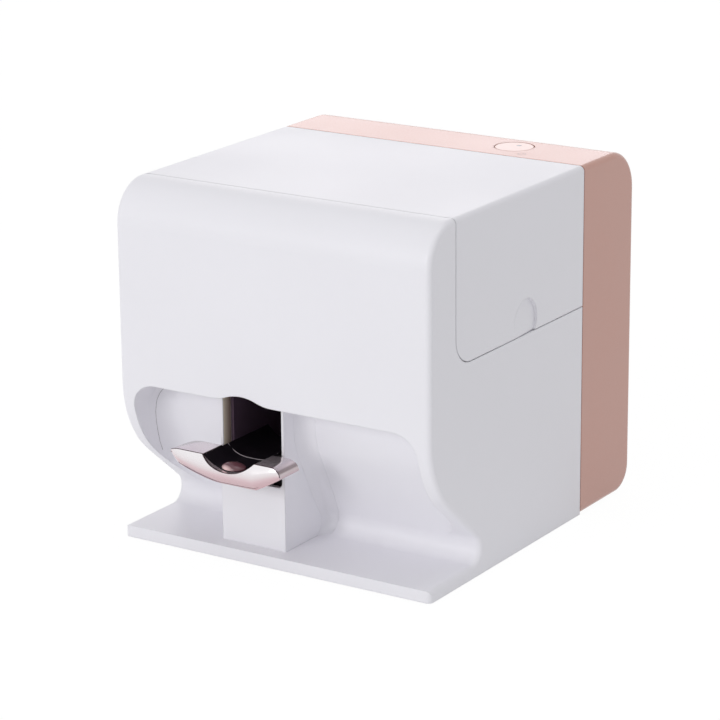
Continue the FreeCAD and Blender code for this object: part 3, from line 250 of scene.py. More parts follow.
class GroundLines(ShaderGroup):
    """Fine parallel lines of ground or turned metal."""

    name = "ground_lines"
    inputs = {"Along X": 1.0, "Along Y": 40.0, "Along Z": 40.0}
    outputs = ("Height", "Tone")

    @classmethod
    def fill(cls, graph: Graph, source: Sequence[Socket]) -> tuple[Socket, ...]:
        """A noise stretched along one axis, and a slow patchy tone."""
        place = graph.place()
        stretch = graph.add("ShaderNodeCombineXYZ", {i: source["Along " + axis] for i, axis in enumerate("XYZ")})
        moved = graph.add("ShaderNodeVectorMath", {0: place, 1: stretch.outputs[0]}, operation="MULTIPLY")
        lines = graph.noise(moved.outputs[0], 60.0, 4.0, 0.7)
        both = graph.maths("MULTIPLY", lines, graph.noise(place, 45.0))
        return lines, graph.ramp(both, 0.12, 0.38)


class BoardTraces(ShaderGroup):
    """Copper runs under the solder resist of a circuit board."""

    name = "board_traces"
    outputs = ("Runs", "Tone")

    @classmethod
    def fill(cls, graph: Graph, source: Sequence[Socket]) -> tuple[Socket, ...]:
        """A brick pattern with broken rows reads as runs and pads."""
        place = graph.place()
        turned = graph.add("ShaderNodeMapping", {"Vector": place, "Rotation": (QUARTER, 0.0, 0.0)})
        brick = graph.add("ShaderNodeTexBrick", {"Vector": turned.outputs[0], "Scale": 260.0,
                                                 "Mortar Size": 0.12, "Mortar Smooth": 0.1,
                                                 "Brick Width": 1.7, "Row Height": 0.5},
                          offset=0.37, squash=1.6, squash_frequency=3)
        return brick.outputs["Fac"], graph.noise(place, 120.0)


class PaintedReflectionFacing(ShaderGroup):
    """How far a rolled surface faces up, which picks its painted reflection and shade: 0 looks straight down, 1
    straight up.
    """

    name = "painted_reflection_facing"
    outputs = ("Up",)

    @classmethod
    def fill(cls, graph: Graph, source: Sequence[Socket]) -> tuple[Socket, ...]:
        """The height part of the surface's own normal."""
        parts = graph.add("ShaderNodeSeparateXYZ", {0: graph.place("Normal")})
        return (graph.ramp(parts.outputs[2], -1.0, 1.0),)


class PaintedLightDepthFade(ShaderGroup):
    """0 at one place along Y and 1 at another, where the line between them may lean across X; it places painted
    light and shade.
    """

    name = "painted_light_depth_fade"
    inputs = {"Front": 0.0, "Back": 0.01, "Lean": 0.0}
    outputs = ("Fade",)

    @classmethod
    def fill(cls, graph: Graph, source: Sequence[Socket]) -> tuple[Socket, ...]:
        """Stretch the object's own Y, with a share of its X, between the two places."""
        parts = graph.add("ShaderNodeSeparateXYZ", {0: graph.place()})
        line = graph.maths("MULTIPLY_ADD", parts.outputs[0], source["Lean"], parts.outputs[1])
        return (graph.ramp(line, source["Front"], source["Back"]),)


# ---------------------------------------------------------------- finishes

@dataclass(frozen=True)
class Finish:
    """A surface finish: its name, colour and gloss."""

    _made: ClassVar[dict[str, bpy.types.Material]] = {}
    name: str
    colour: Colour
    roughness: float = 0.5

    def material(self) -> bpy.types.Material:
        """Return the finish's material, making it the first time it is asked for."""
        if self.name not in Finish._made:
            made = Finish._made[self.name] = bpy.data.materials.new(self.name + "_finish")
            made.use_nodes = True
            made.node_tree.nodes.clear()
            made.diffuse_color = (*self.colour, 1.0)
            graph = Graph(made.node_tree)
            shader = graph.add("ShaderNodeBsdfPrincipled", {"Base Color": made.diffuse_color[:],
                                                            "Roughness": self.roughness})
            graph.add("ShaderNodeOutputMaterial", {0: shader.outputs[0]})
            self.build(graph, shader)
        return Finish._made[self.name]

    def build(self, graph: Graph, shader: Node) -> None:
        """Add what this kind of finish has beyond colour and gloss."""

    def times(self, factor: float, more: float = 0.0) -> Colour:
        """The finish's colour, made darker or paler."""
        return tuple(min(1.0, c * factor + more) for c in self.colour)

    def tone(self, graph: Graph, shader: Node, factor: Socket, first: Colour | Socket,
             second: Colour | Socket | None = None) -> None:
        """Blend the base colour from one colour to another, or to the finish's own."""
        graph.feed(shader, {"Base Color": graph.mix_colour(factor, first, second or self.colour)})

    def gloss(self, graph: Graph, shader: Node, value: Socket, low: float, high: float,
              start: float = 0.0, end: float = 1.0) -> None:
        """Let the roughness run from low to high as a value runs from start to end."""
        graph.feed(shader, {"Roughness": graph.ramp(value, start, end, low, high)})

    def bump(self, graph: Graph, shader: Node, height: Socket, depth: float, soft_edge: float = 0.0) -> None:
        """Feed a height to the shader's normal.

        Args:
            graph: the material's graph.
            shader: its Principled node.
            height: the height, whose full white stands depth proud.
            depth: metres at full white.
            soft_edge: radius, in metres, over which sharp edges look rounded.
        """
        node = graph.add("ShaderNodeBump", {"Strength": 1.0, "Distance": depth, "Height": height})
        if soft_edge > 0.0:
            graph.feed(node, {"Normal": graph.add("ShaderNodeBevel", {"Radius": soft_edge}).outputs[0]})
        graph.feed(shader, {"Normal": node.outputs[0]})


@dataclass(frozen=True)
class MouldedPlastic(Finish):
    """Injection-moulded plastic with a fine grain."""

    vary: ClassVar[float] = 0.05
    shade: float = 0.97
    grain: float = 900.0
    depth: float = 0.000012
    coat: float = 0.0
    specular: float = 0.5
    soft_edge: float = 0.0

    def build(self, graph: Graph, shader: Node) -> None:
        """Grain in the normal, cloudy tone in colour and gloss."""
        grain = MouldGrain.put(graph, Scale=self.grain)
        self.tone(graph, shader, grain["Tone"], self.times(self.shade))
        self.gloss(graph, shader, grain["Sheen"], self.roughness - self.vary, self.roughness + self.vary)
        graph.feed(shader, {"Coat Weight": self.coat, "Coat Roughness": 0.12, "Specular IOR Level": self.specular})
        self.bump(graph, shader, grain["Height"], self.depth, self.soft_edge)


@dataclass(frozen=True)
class Metal(Finish):
    """Ground, turned or rolled metal."""

    lines: Axis = Axis.EVEN
    depth: float = 0.000006
    shade: float = 0.8

    def build(self, graph: Graph, shader: Node) -> None:
        """Fine lines in the normal and the gloss."""
        lines = GroundLines.put(graph, **{"Along " + axis: v for axis, v in zip("XYZ", self.lines.value)})
        graph.feed(shader, {"Metallic": 1.0})
        self.tone(graph, shader, lines["Tone"], self.times(self.shade))
        self.gloss(graph, shader, lines["Height"], self.roughness * 0.8, self.roughness * 1.25, 0.3, 0.7)
        self.bump(graph, shader, lines["Height"], self.depth)


@dataclass(frozen=True)
class Plated(Finish):
    """Bright plating over smooth plastic."""

    def build(self, graph: Graph, shader: Node) -> None:
        """Nearly mirror bright, with a very slight waviness."""
        grain = MouldGrain.put(graph, Scale=60.0, Cloud=30.0)
        graph.feed(shader, {"Metallic": 1.0})
        self.gloss(graph, shader, grain["Tone"], self.roughness * 0.7, self.roughness * 1.4)
        self.tone(graph, shader, grain["Tone"], self.times(0.96))
        self.bump(graph, shader, grain["Height"], 0.000015)


@dataclass(frozen=True)
class PaintedReflectionPlating(Finish):
    """Rose plating under a clear coat, whose colour is painted by the roll of the surface: painted reflection and
    shade, pale where it faces up and dark where it faces down.
    """

    stops: Stops = ()

    def build(self, graph: Graph, shader: Node) -> None:
        """A row of painted reflection and shade tones from the underside to the top, and a slight waviness."""
        grain = MouldGrain.put(graph, Scale=60.0, Cloud=30.0)
        # Painted reflection and shade: the base colour is picked from the stops by how far the surface faces up.
        rolled = graph.bands(PaintedReflectionFacing.put(graph)["Up"], self.stops)
        self.tone(graph, shader, graph.ramp(grain["Tone"], 0.0, 1.0, 0.0, 0.05), rolled, (1.0, 1.0, 1.0))
        self.gloss(graph, shader, grain["Tone"], self.roughness * 0.8, self.roughness * 1.2)
        graph.feed(shader, {"Metallic": 0.75, "Coat Weight": 0.5, "Coat Roughness": 0.04})
        self.bump(graph, shader, grain["Height"], 0.000010)


@dataclass(frozen=True)
class Rubber(Finish):
    """Soft moulded rubber or silicone."""

    def build(self, graph: Graph, shader: Node) -> None:
        """Dull, softly mottled and slightly uneven."""
        grain = MouldGrain.put(graph, Scale=1400.0, Cloud=60.0)
        self.tone(graph, shader, grain["Tone"], self.colour, self.times(1.15, 0.004))
        graph.feed(shader, {"Specular IOR Level": 0.35})
        self.bump(graph, shader, grain["Height"], 0.00002)


@dataclass(frozen=True)
class PaintedLightPlastic(Finish):
    """Glossy plastic or silicone whose colour is painted from one colour at its front to another behind: painted
    light and shade.
    """

    behind: Colour = (0.0, 0.0, 0.0)
    front: float = 0.0
    back: float = 0.01
    lean: float = 0.0

    def build(self, graph: Graph, shader: Node) -> None:
        """Painted light and shade faded along Y, with a fine grain."""
        fade = PaintedLightDepthFade.put(graph, Front=self.front, Back=self.back, Lean=self.lean)
        grain = MouldGrain.put(graph, Scale=900.0, Cloud=60.0)
        faded = graph.mix_colour(fade["Fade"], self.colour, self.behind)
        self.tone(graph, shader, graph.ramp(grain["Tone"], 0.0, 1.0, 0.0, 0.06), faded, (0.5, 0.4, 0.4))
        self.bump(graph, shader, grain["Height"], 0.000006)


@dataclass(frozen=True)
class CircuitBoard(Finish):
    """Green board with copper runs under the resist."""

    def build(self, graph: Graph, shader: Node) -> None:
        """Runs are a little paler and stand a little proud."""
        traces = BoardTraces.put(graph)
        self.tone(graph, shader, traces["Runs"], self.colour, self.times(1.9, 0.01))
        self.gloss(graph, shader, traces["Tone"], self.roughness * 0.8, self.roughness * 1.2, 0.3, 0.7)
        self.bump(graph, shader, traces["Runs"], 0.00003)


@dataclass(frozen=True)
class Glass(Finish):
    """Dark coated optical glass."""

    def build(self, graph: Graph, shader: Node) -> None:
        """Smooth and partly clear, with a coloured coating seen in the reflection."""
        grain = MouldGrain.put(graph, Scale=200.0, Cloud=90.0)
        red, green, blue = self.colour
        graph.feed(shader, {"Transmission Weight": 0.6, "IOR": 1.5})
        self.tone(graph, shader, grain["Tone"], self.colour, (red * 0.7, green * 0.8, min(1.0, blue * 1.3)))


SMOOTH = 0.000001
SHELL_WHITE = MouldedPlastic("shell_white", (0.890, 0.880, 0.922), 0.42, shade=0.985, soft_edge=0.0007)
SHELL_PINK = MouldedPlastic("shell_pink", (0.575, 0.275, 0.21), 0.40, shade=0.975, coat=0.5, specular=0.7,
                            soft_edge=0.0015)
BUTTON_PINK = MouldedPlastic("button_pink", (0.62, 0.34, 0.27), 0.34, shade=0.98, coat=0.5, specular=0.7,
                             soft_edge=0.0003)
LINER_DARK = MouldedPlastic("liner_dark", (0.115, 0.075, 0.112), 0.5, shade=0.9, specular=0.15)
# Painted light and shade: a warm sheet on the port's white side walls, bright and warm at the front, fading to dark
# shade behind.
WARM_PAINTED_LIGHT = PaintedLightPlastic("warm_painted_light", (0.98, 0.86, 0.70), 0.45, behind=(0.45, 0.32, 0.27),
                           front=-0.0875, back=-0.0825)
TROUGH_BLACK = MouldedPlastic("trough_black", (0.013, 0.010, 0.014), 0.34, grain=300.0, depth=2 * SMOOTH,
                              specular=0.04)
FRAME_BLACK = MouldedPlastic("frame_black", (0.022, 0.022, 0.024), 0.45, shade=0.85, depth=0.00002)
BASE_GREY = MouldedPlastic("base_grey", (0.50, 0.50, 0.51), 0.5, shade=0.96, depth=0.00002)
CARTRIDGE_BLACK = MouldedPlastic("cartridge_black", (0.018, 0.018, 0.020), 0.38, shade=0.85)
LENS_DARK = MouldedPlastic("lens_dark", (0.02, 0.010, 0.012), 0.12, depth=SMOOTH)
# Partly painted: a pale-pink painted highlight at the pad's front, fading to the pad's own dark rose behind.
PAD_PAINTED_HIGHLIGHT = PaintedLightPlastic("pad_pink", (0.88, 0.62, 0.62), 0.14, behind=(0.13, 0.040, 0.055),
                        front=-0.1164, back=-0.1148, lean=0.32)
# Painted reflection and shade on the tray's face: near white where it faces up, dark rose where it faces down.
ROSE_FACE_PAINTED_REFLECTION = PaintedReflectionPlating("rose_face_painted_reflection", (0.84, 0.78, 0.81), 0.16, stops=(
    (0.0, (0.26, 0.13, 0.15)), (0.20, (0.58, 0.38, 0.41)), (0.32, (0.69, 0.52, 0.55)),
    (0.44, (0.75, 0.66, 0.68)), (0.58, (0.81, 0.76, 0.78)), (0.72, (0.85, 0.82, 0.84)), (1.0, (0.87, 0.85, 0.87))))
# Painted reflection and shade on the tray's wings: pale where they face up, dark where they face down, with two
# dark bands of painted reflection.
ROSE_WING_PAINTED_REFLECTION = PaintedReflectionPlating("rose_wing_painted_reflection", (0.74, 0.63, 0.67), 0.14, stops=(
    (0.0, (0.30, 0.16, 0.18)), (0.34, (0.26, 0.13, 0.15)), (0.44, (0.62, 0.40, 0.42)), (0.54, (0.72, 0.60, 0.60)),
    (0.66, (0.74, 0.64, 0.62)), (0.76, (0.30, 0.23, 0.23)), (0.86, (0.34, 0.27, 0.27)), (0.92, (0.78, 0.67, 0.69)),
    (1.0, (0.82, 0.71, 0.75))))
SEAM_DARK = MouldedPlastic("seam_dark", (0.05, 0.022, 0.028), 0.5, depth=SMOOTH, specular=0.1)
# Painted shade for the crease in the recess's left corner.
CREASE_PAINTED_SHADE = MouldedPlastic("crease_painted_shade", (0.42, 0.40, 0.42), 0.5, depth=SMOOTH)
# Painted highlight: a pale bead across the black trough.
RIM_PAINTED_HIGHLIGHT = MouldedPlastic("rim_painted_highlight", (0.62, 0.56, 0.60), 0.2, depth=SMOOTH)
RUBBER_DARK = Rubber("rubber_dark", (0.018, 0.018, 0.018), 0.75)
BELT_RUBBER = Rubber("belt", (0.014, 0.014, 0.014), 0.7)
SEAL_RUBBER = Rubber("seal_rubber", (0.05, 0.05, 0.055), 0.6)
STEEL_X = Metal("steel_ground_x", (0.62, 0.63, 0.65), 0.22, lines=Axis.X)
STEEL_Y = Metal("steel_ground_y", (0.62, 0.63, 0.65), 0.22, lines=Axis.Y)
STEEL_Z = Metal("steel_ground_z", (0.60, 0.61, 0.63), 0.25, lines=Axis.Z)
LAMINATED = Metal("laminated_steel", (0.46, 0.46, 0.47), 0.4, lines=Axis.Z, depth=0.00003, shade=0.6)
SHEET_STEEL = Metal("sheet_steel", (0.56, 0.58, 0.60), 0.34, lines=Axis.X, shade=0.86)
BRONZE = Metal("bronze", (0.60, 0.38, 0.16), 0.36, shade=0.78)
ALLOY = Metal("alloy", (0.74, 0.75, 0.76), 0.28, lines=Axis.Y)
TINNED = Metal("tinned", (0.70, 0.71, 0.72), 0.3)
GOLD_PAD = Metal("gold_pad", (0.80, 0.58, 0.22), 0.25)
MOTOR_BLACK = MouldedPlastic("motor_can", (0.020, 0.020, 0.022), 0.36, grain=500.0, shade=0.8)
MAGNET = Plated("magnet_nickel", (0.70, 0.68, 0.64), 0.16)
BOARD_GREEN = CircuitBoard("board_green", (0.010, 0.085, 0.040), 0.35)
CHIP_BLACK = MouldedPlastic("chip_black", (0.016, 0.016, 0.017), 0.5, grain=1500.0, shade=0.8)
PART_TAN = MouldedPlastic("part_tan", (0.42, 0.30, 0.18), 0.4, grain=1500.0, shade=0.7)
PLUG_CREAM = MouldedPlastic("plug_cream", (0.72, 0.69, 0.60), 0.4, shade=0.95)
LABEL_PALE = MouldedPlastic("label_pale", (0.70, 0.70, 0.72), 0.35, depth=4 * SMOOTH)
LAMP_WHITE = MouldedPlastic("lamp_white", (0.82, 0.78, 0.60), 0.2, depth=SMOOTH)
OPTIC = Glass("optic", (0.05, 0.07, 0.16), 0.03)
MARK_GREY = MouldedPlastic("mark_grey", (0.30, 0.22, 0.21), 0.5, depth=SMOOTH)
# Painted shade: dark discs and beads where nozzle holes and coupling slits are.
HOLE_PAINTED_SHADE = MouldedPlastic("hole_painted_shade", (0.010, 0.010, 0.011), 0.6, depth=4 * SMOOTH)


# ---------------------------------------------------------------- mesh tools

def new_object(name: str, mesh: bpy.types.Mesh, finish: Finish) -> Item:
    """Put a mesh into the scene, shaded smooth with creases where it turns by more than CREASE_ANGLE."""
    mesh.shade_smooth()
    mesh.set_sharp_from_angle(angle=CREASE_ANGLE)
    item = bpy.data.objects.new(name, mesh)
    bpy.context.scene.collection.objects.link(item)
    mesh.materials.clear()
    mesh.materials.append(finish.material())
    return item


def from_bmesh(name: str, shape: bmesh.types.BMesh, finish: Finish) -> Item:
    """Turn a finished bmesh into an object at the origin, and free it."""
    bmesh.ops.recalc_face_normals(shape, faces=shape.faces)
    mesh = bpy.data.meshes.new(name)
    shape.to_mesh(mesh)
    shape.free()
    return new_object(name, mesh, finish)


def block(name: str, low: Point, high: Point, finish: Finish, bevel: float = 0.0003) -> Item:
    """Make a box between two corners, with edges rounded by the bevel's radius."""
    shape = bmesh.new()
    bmesh.ops.create_cube(shape, size=1.0)
    size = Vector(high) - Vector(low)
    middle = (Vector(high) + Vector(low)) / 2
    bmesh.ops.transform(shape, matrix=Matrix.Translation(middle) @ Matrix.Diagonal((*size, 1.0)), verts=shape.verts)
    radius = min(bevel, min(size) * 0.4)
    bmesh.ops.bevel(shape, geom=shape.edges[:], offset=radius, segments=2, affect="EDGES", profile=0.5)
    return from_bmesh(name, shape, finish)


def skin(name: str, rings: Sequence[Sequence[Point]], finish: Finish) -> Item:
    """Join a row of rings that have the same number of points, and fill the first and the last."""
    shape = bmesh.new()
    made = [[shape.verts.new(Vector(p)) for p in ring] for ring in rings]
    count = len(made[0])
    for first, second in zip(made, made[1:]):
        for k in range(count):
            m = (k + 1) % count
            shape.faces.new((first[k], first[m], second[m], second[k]))
    shape.faces.new(made[0])
    shape.faces.new(made[-1])
    return from_bmesh(name, shape, finish)


def lathe(name: str, profile: Sequence[tuple[float, float]], at: Point, finish: Finish,
          steps: int = 48, turn: Matrix | None = None) -> Item:
    """Spin a (radius, height) profile round a line.

    Args:
        name: the piece's name.
        profile: points from the lower pole to the upper one; a radius of 0 closes it.
        at: where the profile's height 0 lies.
        finish: what it is made of.
        steps: sides of the round.
        turn: rotation or stretch of the shape, whose line otherwise points up.

    Returns:
        The new object.
    """
    shape = bmesh.new()
    rings = []
    for radius, height in profile:
        angles = [TAU * i / steps for i in range(steps if radius > 1e-9 else 1)]
        rings.append([shape.verts.new((radius * math.cos(a), radius * math.sin(a), height)) for a in angles])
    for low, high in zip(rings, rings[1:]):
        for i in range(steps):
            j = (i + 1) % steps
            corners = (low[i % len(low)], low[j % len(low)], high[j % len(high)], high[i % len(high)])
            unique = list(dict.fromkeys(corners))
            if len(unique) > 2:
                shape.faces.new(unique)
    matrix = Matrix.Translation(Vector(at)) @ (turn or Matrix.Identity(4))
    bmesh.ops.transform(shape, matrix=matrix, verts=shape.verts)
    return from_bmesh(name, shape, finish)


def sweep(name: str, points: Sequence[Point], radius: float, finish: Finish, sides: int = 8,
          flatten: tuple[float, float] = (1.0, 1.0)) -> Item:
    """Draw a thin bead along a line of points.

    Args:
        name: the piece's name.
        points: the line, in order.
        radius: half the bead's thickness.
        finish: what it is made of.
        sides: sides of the bead's section.
        flatten: scale of the section across and up.

    Returns:
        The new object.
    """
    line = [Vector(p) for p in points]
    rings = []
    for i, point in enumerate(line):
        ahead = (line[min(i + 1, len(line) - 1)] - line[max(i - 1, 0)]).normalized()
        side = ahead.cross(Vector((0.0, 0.0, 1.0)))
        if side.length < 1e-6:
            side = ahead.cross(Vector((0.0, 1.0, 0.0)))
        side.normalize()
        up = side.cross(ahead).normalized()
        rings.append([point + side * (radius * flatten[0] * math.cos(a)) + up * (radius * flatten[1] * math.sin(a))
                      for a in (TAU * k / sides for k in range(sides))])
    return skin(name, rings, finish)


# ---------------------------------------------------------------- geometry rules

class GeometryRule:
    """A geometry node tree that makes repeated shapes from its named inputs."""

    _made: dict[str, bpy.types.NodeTree] = {}
    name = "rule"
    inputs: dict[str, object] = {}
    kinds = {float: "NodeSocketFloat", int: "NodeSocketInt", tuple: "NodeSocketVector"}

    @classmethod
    def tree(cls) -> bpy.types.NodeTree:
        """Return the rule's tree, building it the first time."""
        if cls.name not in GeometryRule._made:
            tree = GeometryRule._made[cls.name] = bpy.data.node_groups.new(cls.name, "GeometryNodeTree")
            new = tree.interface.new_socket
            new(name="Places", in_out="INPUT", socket_type="NodeSocketGeometry")
            for label, value in cls.inputs.items():
                new(name=label, in_out="INPUT", socket_type=cls.kinds[type(value)]).default_value = value
            new(name="Finish", in_out="INPUT", socket_type="NodeSocketMaterial")
            new(name="Result", in_out="OUTPUT", socket_type="NodeSocketGeometry")
            graph = Graph(tree)
            source = graph.add("NodeGroupInput").outputs
            real = graph.add("GeometryNodeRealizeInstances", {0: cls.fill(graph, source)})
            coated = graph.add("GeometryNodeSetMaterial", {"Geometry": real.outputs[0],
                                                           "Material": source["Finish"]})
            graph.add("NodeGroupOutput", {0: coated.outputs[0]})
        return GeometryRule._made[cls.name]

    @classmethod
    def fill(cls, graph: Graph, source: Sequence[Socket]) -> Socket:
        """Build the rule and return the socket of its shapes."""
        raise NotImplementedError

    @staticmethod
    def copies(graph: Graph, points: Socket, shape: Node, euler: Socket) -> Socket:
        """A copy of a shape at every point, turned by an Euler angle."""
        turn = graph.add("FunctionNodeEulerToRotation", {0: euler})
        return graph.add("GeometryNodeInstanceOnPoints", {"Points": points, "Instance": shape.outputs[0],
                                                          "Rotation": turn.outputs[0]}).outputs[0]

    @staticmethod
    def lay(graph: Graph, shape: Socket, move: Socket, about_x: float) -> Socket:
        """A shape turned about X and then moved."""
        return graph.add("GeometryNodeTransform", {"Geometry": shape, "Translation": move,
                                                   "Rotation": (about_x, 0.0, 0.0)}).outputs[0]

    @classmethod
    def make(cls, name: str, finish: Finish, places: Sequence[Point] = ((0.0, 0.0, 0.0),),
             **values: object) -> Item:
        """Run the rule and keep its result as a plain mesh.

        Args:
            name: the piece's name.
            finish: what it is made of.
            places: points that the rule works from.
            values: the rule's inputs by name.

        Returns:
            The new object, at the origin.
        """
        seed = bpy.data.meshes.new(name + "_places")
        seed.from_pydata([tuple(p) for p in places], [], [])
        holder = bpy.data.objects.new(name + "_rule", seed)
        bpy.context.scene.collection.objects.link(holder)
        modifier = holder.modifiers.new(cls.name, "NODES")
        modifier.node_group = cls.tree()
        sockets = {item.name: item.identifier for item in cls.tree().interface.items_tree
                   if item.item_type == "SOCKET" and item.in_out == "INPUT"}
        for label, value in {**values, "Finish": finish.material()}.items():
            modifier[sockets[label]] = value
        bpy.context.view_layer.update()
        baked = bpy.data.meshes.new_from_object(holder.evaluated_get(bpy.context.evaluated_depsgraph_get()))
        holder.modifiers.remove(modifier)
        bpy.data.objects.remove(holder)
        baked.name = name
        return new_object(name, baked, finish)


class BlockRow(GeometryRule):
    """One small box at every place."""

    name = "block_row"
    inputs = {"Size": (0.001, 0.001, 0.001), "Turn": (0.0, 0.0, 0.0)}

    @classmethod
    def fill(cls, graph: Graph, source: Sequence[Socket]) -> Socket:
        """Boxes of one size, all turned alike."""
        cube = graph.add("GeometryNodeMeshCube", {"Size": source["Size"]})
        return cls.copies(graph, source["Places"], cube, source["Turn"])


class RodRow(GeometryRule):
    """One short rod at every place."""

    name = "rod_row"
    inputs = {"Radius": 0.001, "Length": 0.001, "Sides": 20, "Turn": (0.0, 0.0, 0.0)}

    @classmethod
    def fill(cls, graph: Graph, source: Sequence[Socket]) -> Socket:
        """Rods of one size, all turned alike."""
        rod = graph.add("GeometryNodeMeshCylinder", {"Vertices": source["Sides"], "Radius": source["Radius"],
                                                     "Depth": source["Length"]})
        return cls.copies(graph, source["Places"], rod, source["Turn"])


class ToothRing(GeometryRule):
    """Teeth round a wheel whose axle lies along Y."""

    name = "tooth_ring"
    inputs = {"Count": 24, "Radius": 0.008, "Tooth": (0.0004, 0.0008, 0.005), "Centre": (0.0, 0.0, 0.0)}

    @classmethod
    def fill(cls, graph: Graph, source: Sequence[Socket]) -> Socket:
        """A tooth at each corner of a circle, turned with it, then laid over to Y."""
        ring = graph.add("GeometryNodeMeshCircle", {"Vertices": source["Count"], "Radius": source["Radius"]},
                         fill_type="NONE")
        step = graph.maths("DIVIDE", TAU, source["Count"])
        angle = graph.maths("MULTIPLY", graph.add("GeometryNodeInputIndex").outputs[0], step)
        euler = graph.add("ShaderNodeCombineXYZ", {2: angle}).outputs[0]
        tooth = graph.add("GeometryNodeMeshCube", {"Size": source["Tooth"]})
        return cls.lay(graph, cls.copies(graph, ring.outputs[0], tooth, euler), source["Centre"], QUARTER)


class Thread(GeometryRule):
    """A screw thread along Y."""

    name = "thread"
    inputs = {"Radius": 0.003, "Bead": 0.0003, "Turns": 10.0, "Length": 0.02, "Start": (0.0, 0.0, 0.0)}

    @classmethod
    def fill(cls, graph: Graph, source: Sequence[Socket]) -> Socket:
        """A bead along a spiral that is laid over to Y."""
        spiral = graph.add("GeometryNodeCurveSpiral", {"Resolution": 24, "Rotations": source["Turns"],
                                                       "Start Radius": source["Radius"],
                                                       "End Radius": source["Radius"],
                                                       "Height": source["Length"]})
        bead = graph.add("GeometryNodeCurvePrimitiveCircle", {"Resolution": 5, "Radius": source["Bead"]})
        pipe = graph.add("GeometryNodeCurveToMesh", {"Curve": spiral.outputs[0], "Profile Curve": bead.outputs[0],
                                                     "Fill Caps": True})
        return cls.lay(graph, pipe.outputs[0], source["Start"], -QUARTER)


# ---------------------------------------------------------------- sub-assemblies

@dataclass
class SubAssembly:
    """A group of pieces that belong together: finishes for its solids and the fine pieces added to them."""

    frame: dict
    pieces: list[Item] = field(default_factory=list)
    finishes: ClassVar[dict[str, Finish]] = {}

    def dress(self) -> None:
        """Give each of this group's solids its finish."""
        for node, finish in self.finishes.items():
            materials = self.frame["nodes"][node].data.materials
            for index in range(len(materials)):
                materials[index] = finish.material()
            LOG.info("dressed %s with %s", node, finish.name)

    def keep(self, piece: Item, body: Body, slot: str | None = None) -> None:
        """Let a finished piece ride on a body and note it."""
        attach(piece, body.value)
        self.pieces.append(piece)
        LOG.info("made %s on %s, %d faces", piece.name, body.value, len(piece.data.polygons))

    def row(self, name: str, finish: Finish, places: Sequence[Point], size: Point, body: Body = Body.BASE,
            slot: str | None = "steel") -> None:
        """Keep a row of small boxes of one size."""
        self.keep(BlockRow.make(name, finish, places, Size=size), body, slot)

    def build(self) -> None:
        """Make the fine pieces of this group."""


@dataclass
class WhiteShell(SubAssembly):
    """Main housing, finger column and the cover with its hinge and catch."""

    cove_radius: float = 8.0 * MM
    cove_foot: float = 5.5 * MM
    cove_bury: float = 1.5 * MM
    cove_hidden: float = 0.2 * MM
    cove_steps: int = 64
    cove_ease: float = 0.35
    crease_bead: float = 0.14 * MM
    crease: tuple[Point, ...] = (
        (-83.2, -75.1, 80.0), (-84.14, -76.16, 78.62), (-85.08, -77.36, 76.79), (-85.86, -78.66, 73.69),
        (-86.07, -79.01, 71.76), (-86.43, -79.36, 67.18), (-86.62, -78.76, 61.42), (-86.81, -77.37, 55.47),
        (-87.06, -75.53, 49.31), (-87.13, -73.27, 44.04))
    finishes: ClassVar[dict[str, Finish]] = {
        "main_housing": SHELL_WHITE, "finger_column": SHELL_WHITE, "top_cover": SHELL_WHITE,
        "hinge_pins": STEEL_Y, "cover_magnets": MAGNET, "catch_plates": SHEET_STEEL}

    def recess_wall(self, spots: Iterable[tuple[float, float]]) -> list[Vector]:
        """Feel the recess's wall from the front at each (x, z), and return the points found."""
        wall = BVHTree.FromObject(self.frame["nodes"]["main_housing"], bpy.context.evaluated_depsgraph_get())
        hits = (wall.ray_cast(Vector((x, -0.3, z)), Vector((0.0, 1.0, 0.0)))[0] for x, z in spots)
        return [hit for hit in hits if hit is not None]

    def cove(self, name: str, side_x: float, away: float) -> None:
        """Fill the corner between the column's side and the recess's wall with a hollow curve.

        Args:
            name: the piece's name.
            side_x: the column's side.
            away: +1 where the curve lies to the right of it, -1 to the left.
        """
        low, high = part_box("finger_column")
        x = side_x + away * self.cove_radius
        wall = self.recess_wall((x, z) for z in spread(low.z + 0.3 * MM, high.z - 0.6 * MM, self.cove_steps))
        inner_x = side_x - away * self.cove_hidden
        rings = []
        for index, spot in enumerate(wall):
            share = min(1.0, index / (self.cove_ease * len(wall)))
            radius = self.cove_foot + (self.cove_radius - self.cove_foot) * math.sin(share * QUARTER)
            centre = Vector((side_x + away * radius, spot.y - radius, spot.z))
            arc = [centre + Vector((-away * radius * math.cos(a), radius * math.sin(a), 0.0))
                   for a in spread(0.0, QUARTER, 11)]
            behind = spot.y + self.cove_hidden
            rings.append(arc + [Vector((centre.x, behind, spot.z)), Vector((inner_x, behind, spot.z)),
                                Vector((inner_x, centre.y, spot.z))])
        rings.insert(0, [point - Vector((0.0, 0.0, self.cove_bury)) for point in rings[0]])
        self.keep(skin(name, rings, SHELL_WHITE), Body.BASE, "shell_white")

    def build(self) -> None:
        """Ease the column into the recess on both sides, and draw a grey bead of painted shade along the crease in
        the recess's left corner.
        """
        low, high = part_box("finger_column")
        self.cove("column_cove_right", high.x, 1.0)
        self.cove("column_cove_left", low.x, -1.0)
        # Painted shade: a grey bead where the recess's left end wall meets its back wall.
        line = [Vector(point) * MM for point in self.crease]
        self.keep(sweep("recess_crease_painted_shade", line, self.crease_bead, CREASE_PAINTED_SHADE, sides=6), Body.BASE, "shell_white")


